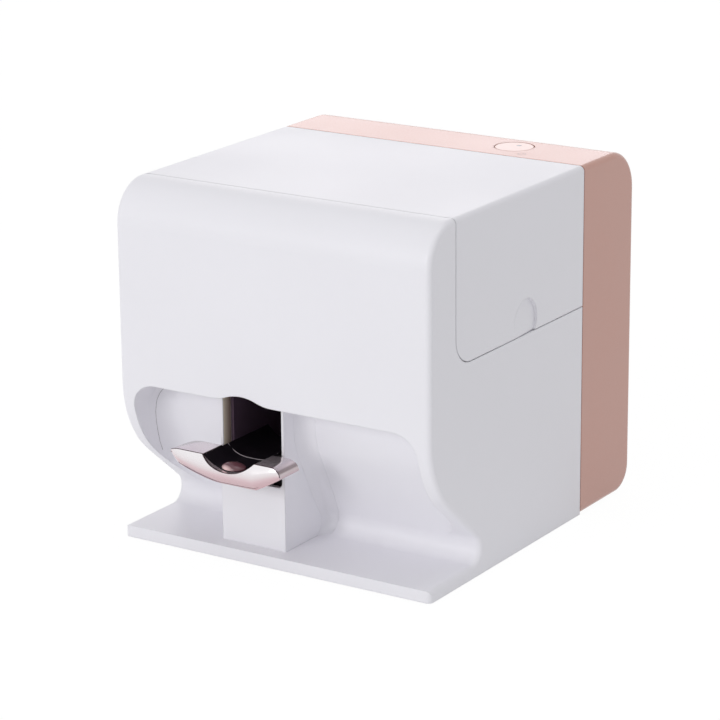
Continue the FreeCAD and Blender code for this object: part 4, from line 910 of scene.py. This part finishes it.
@dataclass
class RearShell(SubAssembly):
    """Pink rear shell with power button, inlet and switch board."""

    mark_radius: float = 2.1 * MM
    mark_at: tuple[float, float] = (52.9 * MM, 64.6 * MM)
    mark_sink: float = 0.01 * MM
    mark_bead: float = 0.26 * MM
    pin_radius: float = 0.85 * MM
    finishes: ClassVar[dict[str, Finish]] = {
        "rear_shell": SHELL_PINK, "power_button": BUTTON_PINK, "status_lens": LENS_DARK,
        "dc_inlet": FRAME_BLACK, "switch_board": BOARD_GREEN}

    def print_power_sign(self) -> None:
        """The plain power sign beside the button: a ring open at the back, and a stroke."""
        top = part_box("rear_shell")[1].z - self.mark_sink
        x, y = self.mark_at
        arc = [(x + self.mark_radius * math.sin(a), y + self.mark_radius * math.cos(a), top)
               for a in (math.radians(40 + 280 * i / 28) for i in range(29))]
        bar = [(x, y + d * MM, top) for d in (0.4, 1.5, 2.6)]
        for label, line in (("ring", arc), ("stroke", bar)):
            self.keep(sweep("power_sign_" + label, line, self.mark_bead, MARK_GREY, flatten=(1.0, 0.12)),
                      Body.BASE, "lens_dark")

    def fit_inlet(self) -> None:
        """The inlet's centre pin with its rounded tip."""
        low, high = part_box("dc_inlet")
        middle = (low + high) / 2
        r = self.pin_radius
        pin = [(0.0, 0.0), (r, 0.0), (r, 7.0 * MM), (r * 0.7, 7.7 * MM), (0.0, 8.0 * MM)]
        self.keep(lathe("inlet_pin", pin, (middle.x, high.y - 9.0 * MM, middle.z), STEEL_Y, steps=20,
                        turn=FACE_BACK), Body.BASE, "steel")

    def fit_switch(self) -> None:
        """Pins and lamp on the small board under the button."""
        low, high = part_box("switch_board")
        button_low, button_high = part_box("power_button")
        corner = Vector(((button_low.x + button_high.x) / 2 + 5 * MM, (low.y + high.y) / 2 + 1 * MM,
                         low.z + 1.4 * MM))
        pins = [(low.x + (3 + 2 * i) * MM, low.y + 2.0 * MM, low.z + 1.9 * MM) for i in range(4)]
        self.row("switch_board_pins", TINNED, pins, (0.5 * MM, 0.5 * MM, 1.2 * MM))
        self.keep(block("switch_board_lamp", corner, corner + Vector((1.6, 0.8, 0.8)) * MM, LAMP_WHITE, 0.1 * MM),
                  Body.BASE)

    def build(self) -> None:
        """Make the sign, the inlet's pin and the switch board's parts."""
        self.print_power_sign()
        self.fit_inlet()
        self.fit_switch()


@dataclass
class FingerRest(SubAssembly):
    """Sprung finger tray and the dark tunnel behind it."""

    channel_half: float = 16.2 * MM
    channel_depth: float = 7.0 * MM
    top_setback: float = 2.56 * MM
    lip_setback: float = 4.2 * MM
    bulge: float = 3.3 * MM
    face_skin: float = 0.45 * MM
    wing_roll: float = 6.2 * MM
    roll_drop: float = 4.6 * MM
    left_round: float = 10.0 * MM
    tip_length: float = 5.5 * MM
    tip_reach: float = 1.5 * MM
    tip_rise: float = 4.6 * MM
    tip_fall: float = 0.9 * MM
    left_rise: float = 7.6 * MM
    right_rise: float = 8.6 * MM
    lip_flat: tuple[float, float] = (-24.0 * MM, -2.0 * MM)
    pad_size: tuple[float, float, float] = (6.9 * MM, 5.0 * MM, 3.0 * MM)
    pad_shift: float = -1.6 * MM
    port_half: float = 18.25 * MM
    port_heights: tuple[float, float] = (47.0 * MM, 87.0 * MM)
    wire: float = 0.4 * MM
    coils: float = 6.1
    press: float = 8.0 * MM
    finishes: ClassVar[dict[str, Finish]] = {
        "tray_fascia": ROSE_WING_PAINTED_REFLECTION, "finger_trough": TROUGH_BLACK, "finger_pad": PAD_PAINTED_HIGHLIGHT,
        "tray_carrier": FRAME_BLACK, "tray_guide_posts": STEEL_Z, "tray_spring_left": STEEL_Z,
        "tray_spring_right": STEEL_Z, "tunnel_liner": LINER_DARK}

    def __post_init__(self) -> None:
        """Read the tray's extents from its solids."""
        self.low, self.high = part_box("tray_fascia")
        self.low.x -= self.tip_reach
        trough_low, trough_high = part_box("finger_trough")
        self.middle = (trough_low.x + trough_high.x) / 2
        self.seat_y = trough_low.y

    def stations(self) -> list[float]:
        """Places across the tray, closer together where its outline turns quickly."""
        left, right = self.low.x, self.high.x
        rim_left, rim_right = self.middle - self.channel_half, self.middle + self.channel_half
        ends = [left + self.left_round * (1 - math.cos(QUARTER * i / 12)) for i in range(12)]
        channel = [self.middle - self.channel_half * math.cos(math.pi * i / 30) for i in range(1, 30)]
        roll = [right - self.wing_roll * (1 - math.sin(QUARTER * i / 14)) for i in range(1, 15)]
        return (ends + spread(left + self.left_round, rim_left, 6) + channel
                + spread(rim_right, right - self.wing_roll, 6) + roll)

    def tip(self, x: float) -> float:
        """How far a place lies out on the left tip, from 0 to 1."""
        return max(0.0, (self.low.x + self.tip_length - x) / self.tip_length)

    def crown(self, x: float) -> float:
        """Height of the wings' top, as if the channel weren't there."""
        inside = x - (self.high.x - self.wing_roll)
        if inside <= 0.0:
            return self.high.z - self.tip_fall * self.tip(x) ** 2
        share = min(1.0, inside / self.wing_roll)
        return self.high.z - self.roll_drop * (1 - math.sqrt(max(0.0, 1 - share * share)))

    def rim(self, x: float) -> float:
        """Height of the face's upper edge, which dips along the channel."""
        offset = abs(x - self.middle)
        if offset >= self.channel_half:
            return self.crown(x)
        arc = (self.channel_half ** 2 + self.channel_depth ** 2) / (2 * self.channel_depth)
        return self.high.z - (math.sqrt(arc ** 2 - offset ** 2) - (arc - self.channel_depth))

    def under(self, x: float) -> float:
        """Height of the lower lip, which climbs to both tips."""
        left_start, right_start = self.lip_flat
        if x < left_start:
            share = (left_start - x) / (left_start - self.low.x)
            curl = self.tip_rise * (1 - math.sqrt(max(0.0, 1 - self.tip(x) ** 2)))
            return self.low.z + self.left_rise * share ** 1.6 + curl
        if x > right_start:
            return self.low.z + self.right_rise * ((x - right_start) / (self.high.x - right_start)) ** 1.1
        return self.low.z

    def rear(self, x: float) -> float:
        """Where the wings end at the back, rounded in at the left tip."""
        front = self.low.y + self.top_setback + 0.6 * MM
        inside = min(1.0, (self.low.x + self.left_round - x) / self.left_round)
        share = 1.0 if inside <= 0.0 else (1 - inside ** 2.5) ** 0.4
        return front + (self.high.y - front) * share

    def face_line(self, x: float, inset: float = 0.0) -> list[Vector]:
        """The front's rolled section at one place across, from its upper edge to the lip."""
        crown, rim, under = self.crown(x), self.rim(x), self.under(x)
        fullness = ((crown - under) / (self.high.z - self.low.z)) ** 1.3
        line = []
        for t in spread((crown - rim) / (crown - under), 1.0, 12):
            y = self.low.y + self.top_setback + (self.lip_setback - self.top_setback) * t
            y -= self.bulge * fullness * math.sin(math.pi * t)
            line.append(Vector((x, y + inset, crown + (under - crown) * t)))
        return line

    def wing_ring(self, x: float) -> list[Vector]:
        """The section of the tray's body behind its face."""
        face = self.face_line(x, self.face_skin)
        rim, under, rear = self.rim(x), self.under(x), self.rear(x)
        in_channel = abs(x - self.middle) < self.channel_half - 0.05 * MM
        step = max(min(self.seat_y + 0.05 * MM, rear - 0.2 * MM), face[0].y + 0.1 * MM)
        seat = rim - (1.7 * MM if in_channel else 0.0)
        tall = seat - under
        back = ((rear - 0.8 * MM, under + min(0.6 * MM, 0.1 * tall)), (rear, under + min(2.0 * MM, 0.3 * tall)),
                (rear, seat - min(1.0 * MM, 0.3 * tall)), (rear - 0.3 * MM, seat - min(0.25 * MM, 0.1 * tall)),
                (rear - 1.0 * MM, seat), (step, seat), (step, rim))
        return face + [Vector((x, y, z)) for y, z in back]

    def build_tray(self) -> None:
        """The plated rest: body with wings, crowned face and the fine joints round it."""
        places = self.stations()
        face_rings = [self.face_line(x) + self.face_line(x, self.face_skin + 0.02 * MM)[::-1] for x in places]
        for name, rings, finish in (("tray_wings", [self.wing_ring(x) for x in places], ROSE_WING_PAINTED_REFLECTION),
                                    ("tray_face", face_rings, ROSE_FACE_PAINTED_REFLECTION)):
            piece = skin(name, rings, finish)
            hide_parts("tray_fascia")
            self.keep(piece, Body.TRAY, "plated_rose")
        joint = [self.face_line(x)[0] + Vector((0.0, self.face_skin, 0.02 * MM)) for x in places]
        self.keep(sweep("tray_joint", joint, 0.2 * MM, SEAM_DARK, sides=6), Body.TRAY, "trough_black")
        lower = [self.face_line(x)[-2] for x in places if self.low.x + 3.0 * MM < x < 1.0 * MM]
        self.keep(sweep("tray_lip_joint", lower, 0.1 * MM, SEAM_DARK, sides=6), Body.TRAY, "trough_black")
        half = (self.seat_y - joint[0].y) / 2 + 0.1 * MM
        lip = [point + Vector((0.0, half + 0.1 * MM, -0.1 * MM)) for point in joint
               if abs(point.x - self.middle) < self.channel_half - 0.1 * MM]
        self.keep(sweep("channel_lip", lip, half, TROUGH_BLACK, flatten=(1.0, 0.35)), Body.TRAY, "trough_black")

    def build_pad(self) -> None:
        """The domed soft pad that the fingertip presses."""
        low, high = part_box("finger_pad")
        a, b, c = self.pad_size
        dome = [(0.0, 0.0), (1.0, 0.0), (1.0, 0.12 * c)]
        dome += [(math.cos(t), 0.12 * c + 0.88 * c * math.sin(t)) for t in spread(0.12, QUARTER - 0.1, 10)]
        dome += [(0.0, c)]
        spot = ((low.x + high.x) / 2, (low.y + high.y) / 2 + self.pad_shift, low.z - 0.1 * MM)
        pad = lathe("finger_pad_dome", dome, spot, PAD_PAINTED_HIGHLIGHT, steps=56, turn=Matrix.Diagonal((a, b, 1.0, 1.0)))
        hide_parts("finger_pad")
        self.keep(pad, Body.TRAY, "pad_pink")

    def build_tunnel(self) -> None:
        """A pale bead of painted highlight across the trough, and warm sheets of painted light and shade on the
        port's side walls.
        """
        low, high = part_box("finger_trough")
        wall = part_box("finger_column")[0].y
        half = (high.x - low.x) / 2 - 0.1 * MM
        # A pale bead across the trough: a painted highlight on its edge in front of the tunnel.
        line = [(self.middle + half * s, wall + 0.4 * MM, low.z + 1.35 * MM + 5.6 * MM * abs(s) ** 3.2)
                for s in spread(-1.0, 1.0, 33)]
        self.keep(sweep("trough_rim_painted_highlight", line, 0.14 * MM, RIM_PAINTED_HIGHLIGHT, sides=6), Body.TRAY, "liner_dark")
        bottom, top = self.port_heights
        # Warm sheets on the port's side walls: painted warm light at the front, painted shade behind.
        for label, side in (("left", -1.0), ("right", 1.0)):
            x = self.middle + side * self.port_half
            ends = sorted((x, x - side * 0.12 * MM))
            self.keep(block("port_wall_painted_light_" + label, (ends[0], wall + 0.6 * MM, bottom),
                            (ends[1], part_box("tunnel_liner")[0].y, top), WARM_PAINTED_LIGHT, 0.03 * MM),
                      Body.BASE, "liner_dark")

    def build_springs(self) -> None:
        """Both coil springs, swept from wire and riding on the tray."""
        for node in ("tray_spring_left", "tray_spring_right"):
            low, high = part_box(node)
            middle = (low + high) / 2
            radius = (high.x - low.x) / 2 - self.wire
            steps = int(self.coils * 24)
            line = [(middle.x + radius * math.cos(a), middle.y + radius * math.sin(a), z)
                    for a, z in zip(spread(0.0, TAU * self.coils, steps),
                                    spread(low.z + self.wire, high.z - self.wire, steps))]
            coil = sweep(node + "_coil", line, self.wire, STEEL_Z)
            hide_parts(node)
            self.keep(coil, Body.TRAY, "steel")
            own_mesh(coil)

    def build(self) -> None:
        """Make the tray, its springs, its pad and the tunnel's fine pieces."""
        self.build_tray()
        self.build_springs()
        self.build_pad()
        self.build_tunnel()


@dataclass
class Underside(SubAssembly):
    """Bottom cover, its screws and the rubber feet."""

    finishes: ClassVar[dict[str, Finish]] = {
        "bottom_cover": BASE_GREY, "base_screws": STEEL_Z, "rubber_feet": RUBBER_DARK}


@dataclass
class Mechanism(SubAssembly):
    """Chassis, Y stage, X drive and lead screw."""

    belt_pitch: float = 2.0 * MM
    belt_thick: float = 1.4 * MM
    tooth_width: float = 1.0 * MM
    tooth_depth: float = 0.22 * MM
    pulley_core: float = 7.7 * MM
    pulley_teeth: int = 24
    screw_radius: float = 3.0 * MM
    screw_pitch: float = 2.0 * MM
    finishes: ClassVar[dict[str, Finish]] = {
        "chassis": SHEET_STEEL, "chassis_screws": STEEL_Z, "y_guide_rod_left": STEEL_Y,
        "y_guide_rod_right": STEEL_Y, "stage_frame": SHEET_STEEL, "stage_bushings": BRONZE,
        "x_guide_rod_lower": STEEL_X, "x_guide_rod_upper": STEEL_X, "x_motor": MOTOR_BLACK,
        "x_drive_pulley": ALLOY, "x_idler_pulley": ALLOY, "idler_pin": STEEL_Y, "x_belt": BELT_RUBBER,
        "y_lead_nut": BRONZE, "y_lead_screw": STEEL_Y, "screw_bearing": FRAME_BLACK, "y_motor": MOTOR_BLACK}

    def tooth_belt(self) -> None:
        """Teeth on the belt's inner side, along both straight runs."""
        low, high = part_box("x_belt")
        outer = (high.z - low.z) / 2
        inner = outer - self.belt_thick
        middle = (high.z + low.z) / 2
        y = (low.y + high.y) / 2
        runs = spread(low.x + outer, high.x - outer, int((high.x - low.x - 2 * outer) / self.belt_pitch) + 1)
        places = [(x, y, middle + side * (inner - self.tooth_depth / 2)) for side in (-1, 1) for x in runs]
        self.row("belt_teeth", BELT_RUBBER, places,
                 (self.tooth_width, high.y - low.y - 0.2 * MM, self.tooth_depth), Body.STAGE, "belt")

    def tooth_pulley(self, node: str, body: Body) -> None:
        """Teeth round a pulley's core."""
        low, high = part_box(node)
        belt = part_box("x_belt")
        centre = ((low.x + high.x) / 2, (belt[0].y + belt[1].y) / 2, (low.z + high.z) / 2)
        self.keep(ToothRing.make(node + "_teeth", ALLOY, Count=self.pulley_teeth,
                                 Radius=self.pulley_core + self.tooth_depth / 2,
                                 Tooth=(self.tooth_depth, self.tooth_width, belt[1].y - belt[0].y), Centre=centre),
                  body, "alloy")

    def thread_screw(self) -> None:
        """The lead screw's thread, and the slits of its coupling, drawn as a dark bead of painted shade."""
        low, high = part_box("y_lead_screw")
        x, z = (low.x + high.x) / 2, (low.z + high.z) / 2
        start, end = low.y + 6.0 * MM, high.y - 26.0 * MM
        self.keep(Thread.make("lead_screw_thread", STEEL_Y, Radius=self.screw_radius - 0.12 * MM, Bead=0.34 * MM,
                              Turns=(end - start) / self.screw_pitch, Length=end - start, Start=(x, start, z)),
                  Body.SCREW, "steel")
        coupling = (high.z - low.z) / 2
        self.keep(Thread.make("coupling_slits", HOLE_PAINTED_SHADE, Radius=coupling - 0.1 * MM, Bead=0.2 * MM, Turns=3.0,
                              Length=5.0 * MM, Start=(x, high.y - 21.0 * MM, z)), Body.SCREW, "frame_black")

    def dress_motors(self) -> None:
        """Laminated core and corner screws of the Y motor, and the X motor's plug."""
        low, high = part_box("y_motor")
        grow = Vector((0.06, 0.0, 0.06)) * MM
        core_low = Vector((low.x, low.y + 5.0 * MM, low.z)) - grow
        core_high = Vector((high.x, high.y - 4.5 * MM, high.z)) + grow
        self.keep(block("y_motor_core", core_low, core_high, LAMINATED, 0.8 * MM), Body.BASE, "sheet_steel")
        inset = 3.2 * MM
        corners = [(x, high.y + 0.3 * MM, z) for x in (low.x + inset, high.x - inset)
                   for z in (low.z + inset, high.z - inset)]
        self.keep(RodRow.make("y_motor_screws", STEEL_Y, corners, Radius=1.5 * MM, Length=1.0 * MM,
                              Turn=(QUARTER, 0.0, 0.0)), Body.BASE, "steel")
        low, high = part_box("x_motor")
        middle = (low + high) / 2
        self.keep(block("x_motor_plug", (middle.x - 4 * MM, high.y - 0.5 * MM, middle.z - 7 * MM),
                        (middle.x + 4 * MM, high.y + 3.0 * MM, middle.z - 3 * MM), PLUG_CREAM), Body.STAGE)
        pins = [(middle.x + d * MM, high.y + 3.2 * MM, middle.z - 5 * MM) for d in (-2.6, -0.9, 0.9, 2.6)]
        self.row("x_motor_plug_pins", TINNED, pins, (0.5 * MM, 1.0 * MM, 0.5 * MM), Body.STAGE)

    def build(self) -> None:
        """Make the belt's and pulleys' teeth, the thread and the motors' details."""
        self.tooth_belt()
        self.tooth_pulley("x_drive_pulley", Body.DRIVE)
        self.tooth_pulley("x_idler_pulley", Body.IDLER)
        self.thread_screw()
        self.dress_motors()


@dataclass
class PrintHead(SubAssembly):
    """Carriage, cartridge and the service station under its parking place."""

    rib: float = 0.5 * MM
    tub_top: float = 112.0 * MM
    tank_top: float = 138.0 * MM
    ink_colours: tuple[tuple[str, Colour], ...] = (
        ("cyan", (0.02, 0.36, 0.60)), ("magenta", (0.55, 0.03, 0.20)), ("yellow", (0.75, 0.55, 0.04)))
    finishes: ClassVar[dict[str, Finish]] = {
        "carriage": FRAME_BLACK, "carriage_bushings": BRONZE, "ink_cartridge": CARTRIDGE_BLACK,
        "nozzle_plate": SHEET_STEEL, "cap_station": FRAME_BLACK, "cap_seal": SEAL_RUBBER,
        "wiper_blade": SEAL_RUBBER}

    def rib_carriage(self) -> None:
        """Upright stiffening ribs on the carriage's front and both sides."""
        low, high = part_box("carriage")
        height = self.tub_top - low.z - 3.0 * MM
        z = low.z + height / 2 + 1.0 * MM
        front = [(x, low.y, z) for x in spread(low.x + 4 * MM, high.x - 4 * MM, 6)]
        sides = [(x, y, z) for x in (low.x, high.x) for y in spread(low.y + 5 * MM, low.y + 45 * MM, 8)]
        for label, places, size in (("front", front, (1.0 * MM, 2 * self.rib, height)),
                                    ("side", sides, (2 * self.rib, 1.0 * MM, height))):
            self.row("carriage_" + label + "_ribs", FRAME_BLACK, places, size, Body.CARRIAGE, "frame_black")

    def dress_cartridge(self) -> None:
        """Bare label with three ink dots, grip ribs, front ribs and contact pads."""
        low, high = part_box("ink_cartridge")
        x = (low.x + high.x) / 2
        top = self.tank_top
        self.keep(block("cartridge_label", (x - 11 * MM, low.y + 4 * MM, top - 0.05 * MM),
                        (x + 11 * MM, low.y + 31 * MM, top + 0.12 * MM), LABEL_PALE, 0.05 * MM),
                  Body.CARTRIDGE, "cartridge")
        for index, (label, colour) in enumerate(self.ink_colours):
            spot = (x + (index - 1) * 6.5 * MM, low.y + 9 * MM, top + 0.1 * MM)
            ink = MouldedPlastic("ink_" + label, colour, 0.3, depth=2 * SMOOTH)
            dot = [(0.0, 0.0), (2.0 * MM, 0.0), (2.0 * MM, 0.08 * MM), (0.0, 0.08 * MM)]
            self.keep(lathe("ink_dot_" + label, dot, spot, ink, steps=32), Body.CARTRIDGE, "cartridge")
        grip = [(x, low.y + 36.0 * MM, z) for z in spread(top + 1.2 * MM, high.z - 0.6 * MM, 4)]
        front = [(rib_x, low.y, (self.tub_top + top) / 2 + 1 * MM) for rib_x in spread(x - 11 * MM, x + 11 * MM, 9)]
        pads = [(x + (i - 2.5) * 3.0 * MM, high.y, self.tub_top + (6 + 3.2 * j) * MM)
                for i in range(6) for j in range(4)]
        for label, finish, places, size in (
                ("grip_ribs", CARTRIDGE_BLACK, grip, (15 * MM, 0.7 * MM, 0.5 * MM)),
                ("front_ribs", CARTRIDGE_BLACK, front, (0.9 * MM, 0.8 * MM, top - self.tub_top - 8 * MM)),
                ("contacts", GOLD_PAD, pads, (2.0 * MM, 0.12 * MM, 2.2 * MM))):
            self.row("cartridge_" + label, finish, places, size, Body.CARTRIDGE, "cartridge")

    def pierce_nozzles(self) -> None:
        """Two rows of nozzles under the plate, drawn as dark discs of painted shade."""
        low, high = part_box("nozzle_plate")
        x, y = (low.x + high.x) / 2, (low.y + high.y) / 2
        rows = [(x + side * 2.2 * MM, y + d * MM, low.z) for side in (-1, 1) for d in spread(-4.2, 4.2, 15)]
        self.keep(RodRow.make("nozzle_rows", HOLE_PAINTED_SHADE, rows, Radius=0.16 * MM, Length=0.06 * MM, Sides=8),
                  Body.CARTRIDGE, "cartridge")

    def build(self) -> None:
        """Make the ribs, the label and the contacts."""
        self.rib_carriage()
        self.dress_cartridge()
        self.pierce_nozzles()


@dataclass
class Electronics(SubAssembly):
    """Camera and control board."""

    board_seed: int = 7
    board_thick: float = 1.6 * MM
    chip: tuple[float, float, float, float] = (-18.0 * MM, 8.0 * MM, 78.0 * MM, 104.0 * MM)
    plug_row: tuple[float, float] = (-44.0 * MM, -4.0 * MM)
    finishes: ClassVar[dict[str, Finish]] = {
        "camera_bracket": SHEET_STEEL, "camera_module": FRAME_BLACK, "camera_lens": OPTIC,
        "main_board": BOARD_GREEN, "board_screws": STEEL_Y}

    def mount(self, name: str, sides: tuple[float, float], heights: tuple[float, float], rise: float, sunk: float,
              finish: Finish, bevel: float, slot: str | None = None) -> None:
        """Keep a box on the board's front face.

        Args:
            name: the piece's name.
            sides: its left and right.
            heights: its bottom and top.
            rise: how far it stands off the board.
            sunk: how far in front of the board's face it starts.
            finish: what it is made of.
            bevel: radius of its edges.
            slot: not used.
        """
        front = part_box("main_board")[1].y - self.board_thick
        self.keep(block(name, (sides[0], front - rise, heights[0]), (sides[1], front - sunk, heights[1]),
                        finish, bevel), Body.BASE, slot)

    def populate_board(self) -> None:
        """Chip bodies and legs, plugs and capacitor on the control board."""
        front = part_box("main_board")[1].y - self.board_thick
        x0, x1, z0, z1 = self.chip
        edge = 0.05 * MM
        self.mount("processor", (x0 + edge, x1 - edge), (z0 + edge, z1 - edge), 1.75 * MM, 0.1 * MM, CHIP_BLACK,
                   0.25 * MM, "frame_black")
        foot = 0.6 * MM
        beside = [(x, front - 0.2 * MM, z) for x in (x0 - foot, x1 + foot)
                  for z in spread(z0 + 2 * MM, z1 - 2 * MM, 18)]
        beyond = [(x, front - 0.2 * MM, z) for z in (z0 - foot, z1 + foot)
                  for x in spread(x0 + 2 * MM, x1 - 2 * MM, 18)]
        self.row("processor_legs_sides", TINNED, beside, (1.4 * MM, 0.4 * MM, 0.5 * MM))
        self.row("processor_legs_ends", TINNED, beyond, (0.5 * MM, 0.4 * MM, 1.4 * MM))
        start, end = self.plug_row
        self.mount("board_plug_row", (start - 0.1 * MM, end + 0.1 * MM), (107.9 * MM, 116.1 * MM), 6.1 * MM, edge,
                   PLUG_CREAM, 0.4 * MM)
        pins = [(x, front - 6.4 * MM, z) for z in (110.5 * MM, 113.5 * MM)
                for x in spread(start + 2 * MM, end - 2 * MM, 15)]
        self.row("board_plug_pins", GOLD_PAD, pins, (0.6 * MM, 1.2 * MM, 0.6 * MM), slot=None)
        self.mount("board_side_plug", (33.9 * MM, 52.1 * MM), (59.9 * MM, 68.1 * MM), 6.1 * MM, edge,
                   PLUG_CREAM, 0.4 * MM)
        self.mount("motor_driver", (15.95 * MM, 26.05 * MM), (83.95 * MM, 110.05 * MM), 1.5 * MM, 0.1 * MM,
                   CHIP_BLACK, 0.2 * MM)
        can = [(0.0, 0.0), (5.1 * MM, 0.0), (5.1 * MM, 9.0 * MM), (4.5 * MM, 9.7 * MM), (4.2 * MM, 10.15 * MM),
               (0.0, 10.15 * MM)]
        self.keep(lathe("board_capacitor", can, (40 * MM, front, 100 * MM), ALLOY, steps=40, turn=FACE_FRONT),
                  Body.BASE, "alloy")

    def scatter_parts(self) -> None:
        """Rows of small resistors and capacitors in the free fields of the board."""
        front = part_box("main_board")[1].y - self.board_thick
        dice = random.Random(self.board_seed)
        cells = [(x, z) for x in spread(-54.0, 28.0, 21) for z in (56.0, 61.0, 66.0, 71.0) if dice.random() < 0.6]
        dark = [c for c in cells if dice.random() < 0.5]
        for label, finish, chosen in (("resistors", CHIP_BLACK, dark),
                                      ("ceramic_capacitors", PART_TAN, [c for c in cells if c not in dark])):
            places = [(x * MM, front - 0.35 * MM, z * MM) for x, z in chosen]
            ends = [(px + side * 0.95 * MM, py, pz) for px, py, pz in places for side in (-1, 1)]
            self.row("board_" + label, finish, places, (2.0 * MM, 0.7 * MM, 1.2 * MM), slot=None)
            self.row("board_" + label + "_ends", TINNED, ends, (0.35 * MM, 0.76 * MM, 1.26 * MM))

    def build(self) -> None:
        """Fill the control board."""
        self.populate_board()
        self.scatter_parts()


# ---------------------------------------------------------------- studio

@dataclass(frozen=True)
class SoftLamp:
    """A soft square lamp aimed at the printer."""

    name: str
    at: tuple[float, float, float]
    size: float
    power: float
    tint: Colour = (1.0, 1.0, 1.0)

    def place(self, target: Vector) -> None:
        """Put the lamp into the scene, facing the target."""
        data = bpy.data.lights.new(self.name, "AREA")
        data.shape = "SQUARE"
        data.size = self.size
        data.energy = self.power
        data.color = self.tint
        lamp = bpy.data.objects.new(self.name, data)
        bpy.context.scene.collection.objects.link(lamp)
        lamp.location = self.at
        lamp.rotation_euler = (target - Vector(self.at)).to_track_quat("-Z", "Y").to_euler()


@dataclass
class Studio:
    """White studio: floor, world, lamps and camera."""

    world_colour: Colour = (0.98, 0.985, 1.0)
    world_strength: float = 0.555
    floor_size: float = 12.0
    floor_white: float = 0.97
    floor_glow: float = 0.95
    floor_strength: float = 1.02
    target: tuple[float, float, float] = (0.0, 0.0, 0.1)
    lamps: tuple[SoftLamp, ...] = (
        SoftLamp("front_lamp", (-0.5, -2.8, 1.0), 0.9, 22.0),
        SoftLamp("top_lamp", (0.2, 0.2, 2.6), 1.4, 9.0),
        SoftLamp("rear_lamp", (-1.3, 2.2, 0.95), 1.0, 3.5, (1.0, 0.95, 1.0)),
    )
    eye: tuple[float, float, float] = (0.82825, -1.28907, 0.55629)
    yaw: float = 32.650
    pitch: float = 16.860
    roll: float = -0.430
    sensor: float = 36.0
    image_pixels: float = 720.0
    focal_pixels: float = 3004.42
    shift_pixels: tuple[float, float] = (-17.45, -6.13)

    def white_for_view(self, graph: Graph) -> Socket:
        """1 where a ray comes from the camera or from glossy or clear surfaces."""
        path = graph.add("ShaderNodeLightPath").outputs
        first = graph.maths("MAXIMUM", path["Is Camera Ray"], path["Is Glossy Ray"])
        return graph.maths("MAXIMUM", first, path["Is Transmission Ray"])

    def mixed(self, owner: bpy.types.World | bpy.types.Material, kinds: tuple[str, str, str],
              values: tuple[Colour, float], seen: float, share: float) -> None:
        """Give a world or a material one shader for light and another for what is seen of it.

        Args:
            owner: the world or the material.
            kinds: node types of the light's shader, of the seen one and of the output.
            values: colour of the light's shader, and its strength if it has one.
            seen: strength of the seen shader, which is white.
            share: how much of the seen shader the camera gets.
        """
        owner.use_nodes = True
        owner.node_tree.nodes.clear()
        graph = Graph(owner.node_tree)
        light = graph.add(kinds[0], {"Color": (*values[0], 1.0)})
        if "Strength" in light.inputs:
            graph.feed(light, {"Strength": values[1]})
        glow = graph.add(kinds[1], {"Color": (1.0, 1.0, 1.0, 1.0), "Strength": seen})
        factor = graph.maths("MULTIPLY", self.white_for_view(graph), share)
        mix = graph.add("ShaderNodeMixShader", {0: factor, 1: light.outputs[0], 2: glow.outputs[0]})
        graph.add(kinds[2], {0: mix.outputs[0]})

    def build_world(self) -> None:
        """Even light, and plain white where the world itself is seen."""
        world = bpy.context.scene.world = bpy.data.worlds.new("studio")
        self.mixed(world, ("ShaderNodeBackground", "ShaderNodeBackground", "ShaderNodeOutputWorld"),
                   (self.world_colour, self.world_strength), 1.0, 1.0)

    def build_floor(self) -> None:
        """A pale floor that shows white and keeps the printer's shadow."""
        half = self.floor_size / 2
        mesh = bpy.data.meshes.new("floor")
        mesh.from_pydata([(-half, -half, 0.0), (half, -half, 0.0), (half, half, 0.0), (-half, half, 0.0)], [],
                         [(0, 1, 2, 3)])
        floor = bpy.data.objects.new("floor", mesh)
        bpy.context.scene.collection.objects.link(floor)
        material = bpy.data.materials.new("floor_white")
        self.mixed(material, ("ShaderNodeBsdfDiffuse", "ShaderNodeEmission", "ShaderNodeOutputMaterial"),
                   ((self.floor_white,) * 3, 0.0), self.floor_strength, self.floor_glow)
        mesh.materials.append(material)

    def build_camera(self) -> None:
        """A long lens from the front right and a little above."""
        data = bpy.data.cameras.new("camera")
        data.sensor_width = self.sensor
        data.lens = self.focal_pixels * self.sensor / self.image_pixels
        data.shift_x, data.shift_y = (pixels / self.image_pixels for pixels in self.shift_pixels)
        data.clip_end = 50.0
        camera = bpy.data.objects.new("camera", data)
        bpy.context.scene.collection.objects.link(camera)
        a, e, r = (math.radians(v) for v in (self.yaw, self.pitch, self.roll))
        back = Vector((math.sin(a) * math.cos(e), -math.cos(a) * math.cos(e), math.sin(e)))
        right = Vector((0.0, 0.0, 1.0)).cross(back).normalized()
        up = back.cross(right)
        side = right * math.cos(r) + up * math.sin(r)
        top = up * math.cos(r) - right * math.sin(r)
        turn = Matrix((side, top, back)).transposed().to_4x4()
        camera.matrix_world = Matrix.Translation(Vector(self.eye)) @ turn
        bpy.context.scene.camera = camera

    def build(self) -> None:
        """Make the whole studio."""
        bpy.context.scene.view_settings.view_transform = "Standard"
        self.build_camera()
        self.build_world()
        self.build_floor()
        for lamp in self.lamps:
            lamp.place(Vector(self.target))


def main() -> None:
    """Load the frame, dress every sub-assembly and light it."""
    logging.basicConfig(level=logging.INFO, format="%(name)s: %(message)s", stream=sys.stdout)
    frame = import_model()
    Studio().build()
    for kind in (WhiteShell, RearShell, FingerRest, Underside, Mechanism, PrintHead, Electronics):
        group = kind(frame)
        group.dress()
        group.build()
        LOG.info("%s: %d added pieces", kind.__name__, len(group.pieces))


if __name__ == "__main__":
    main()
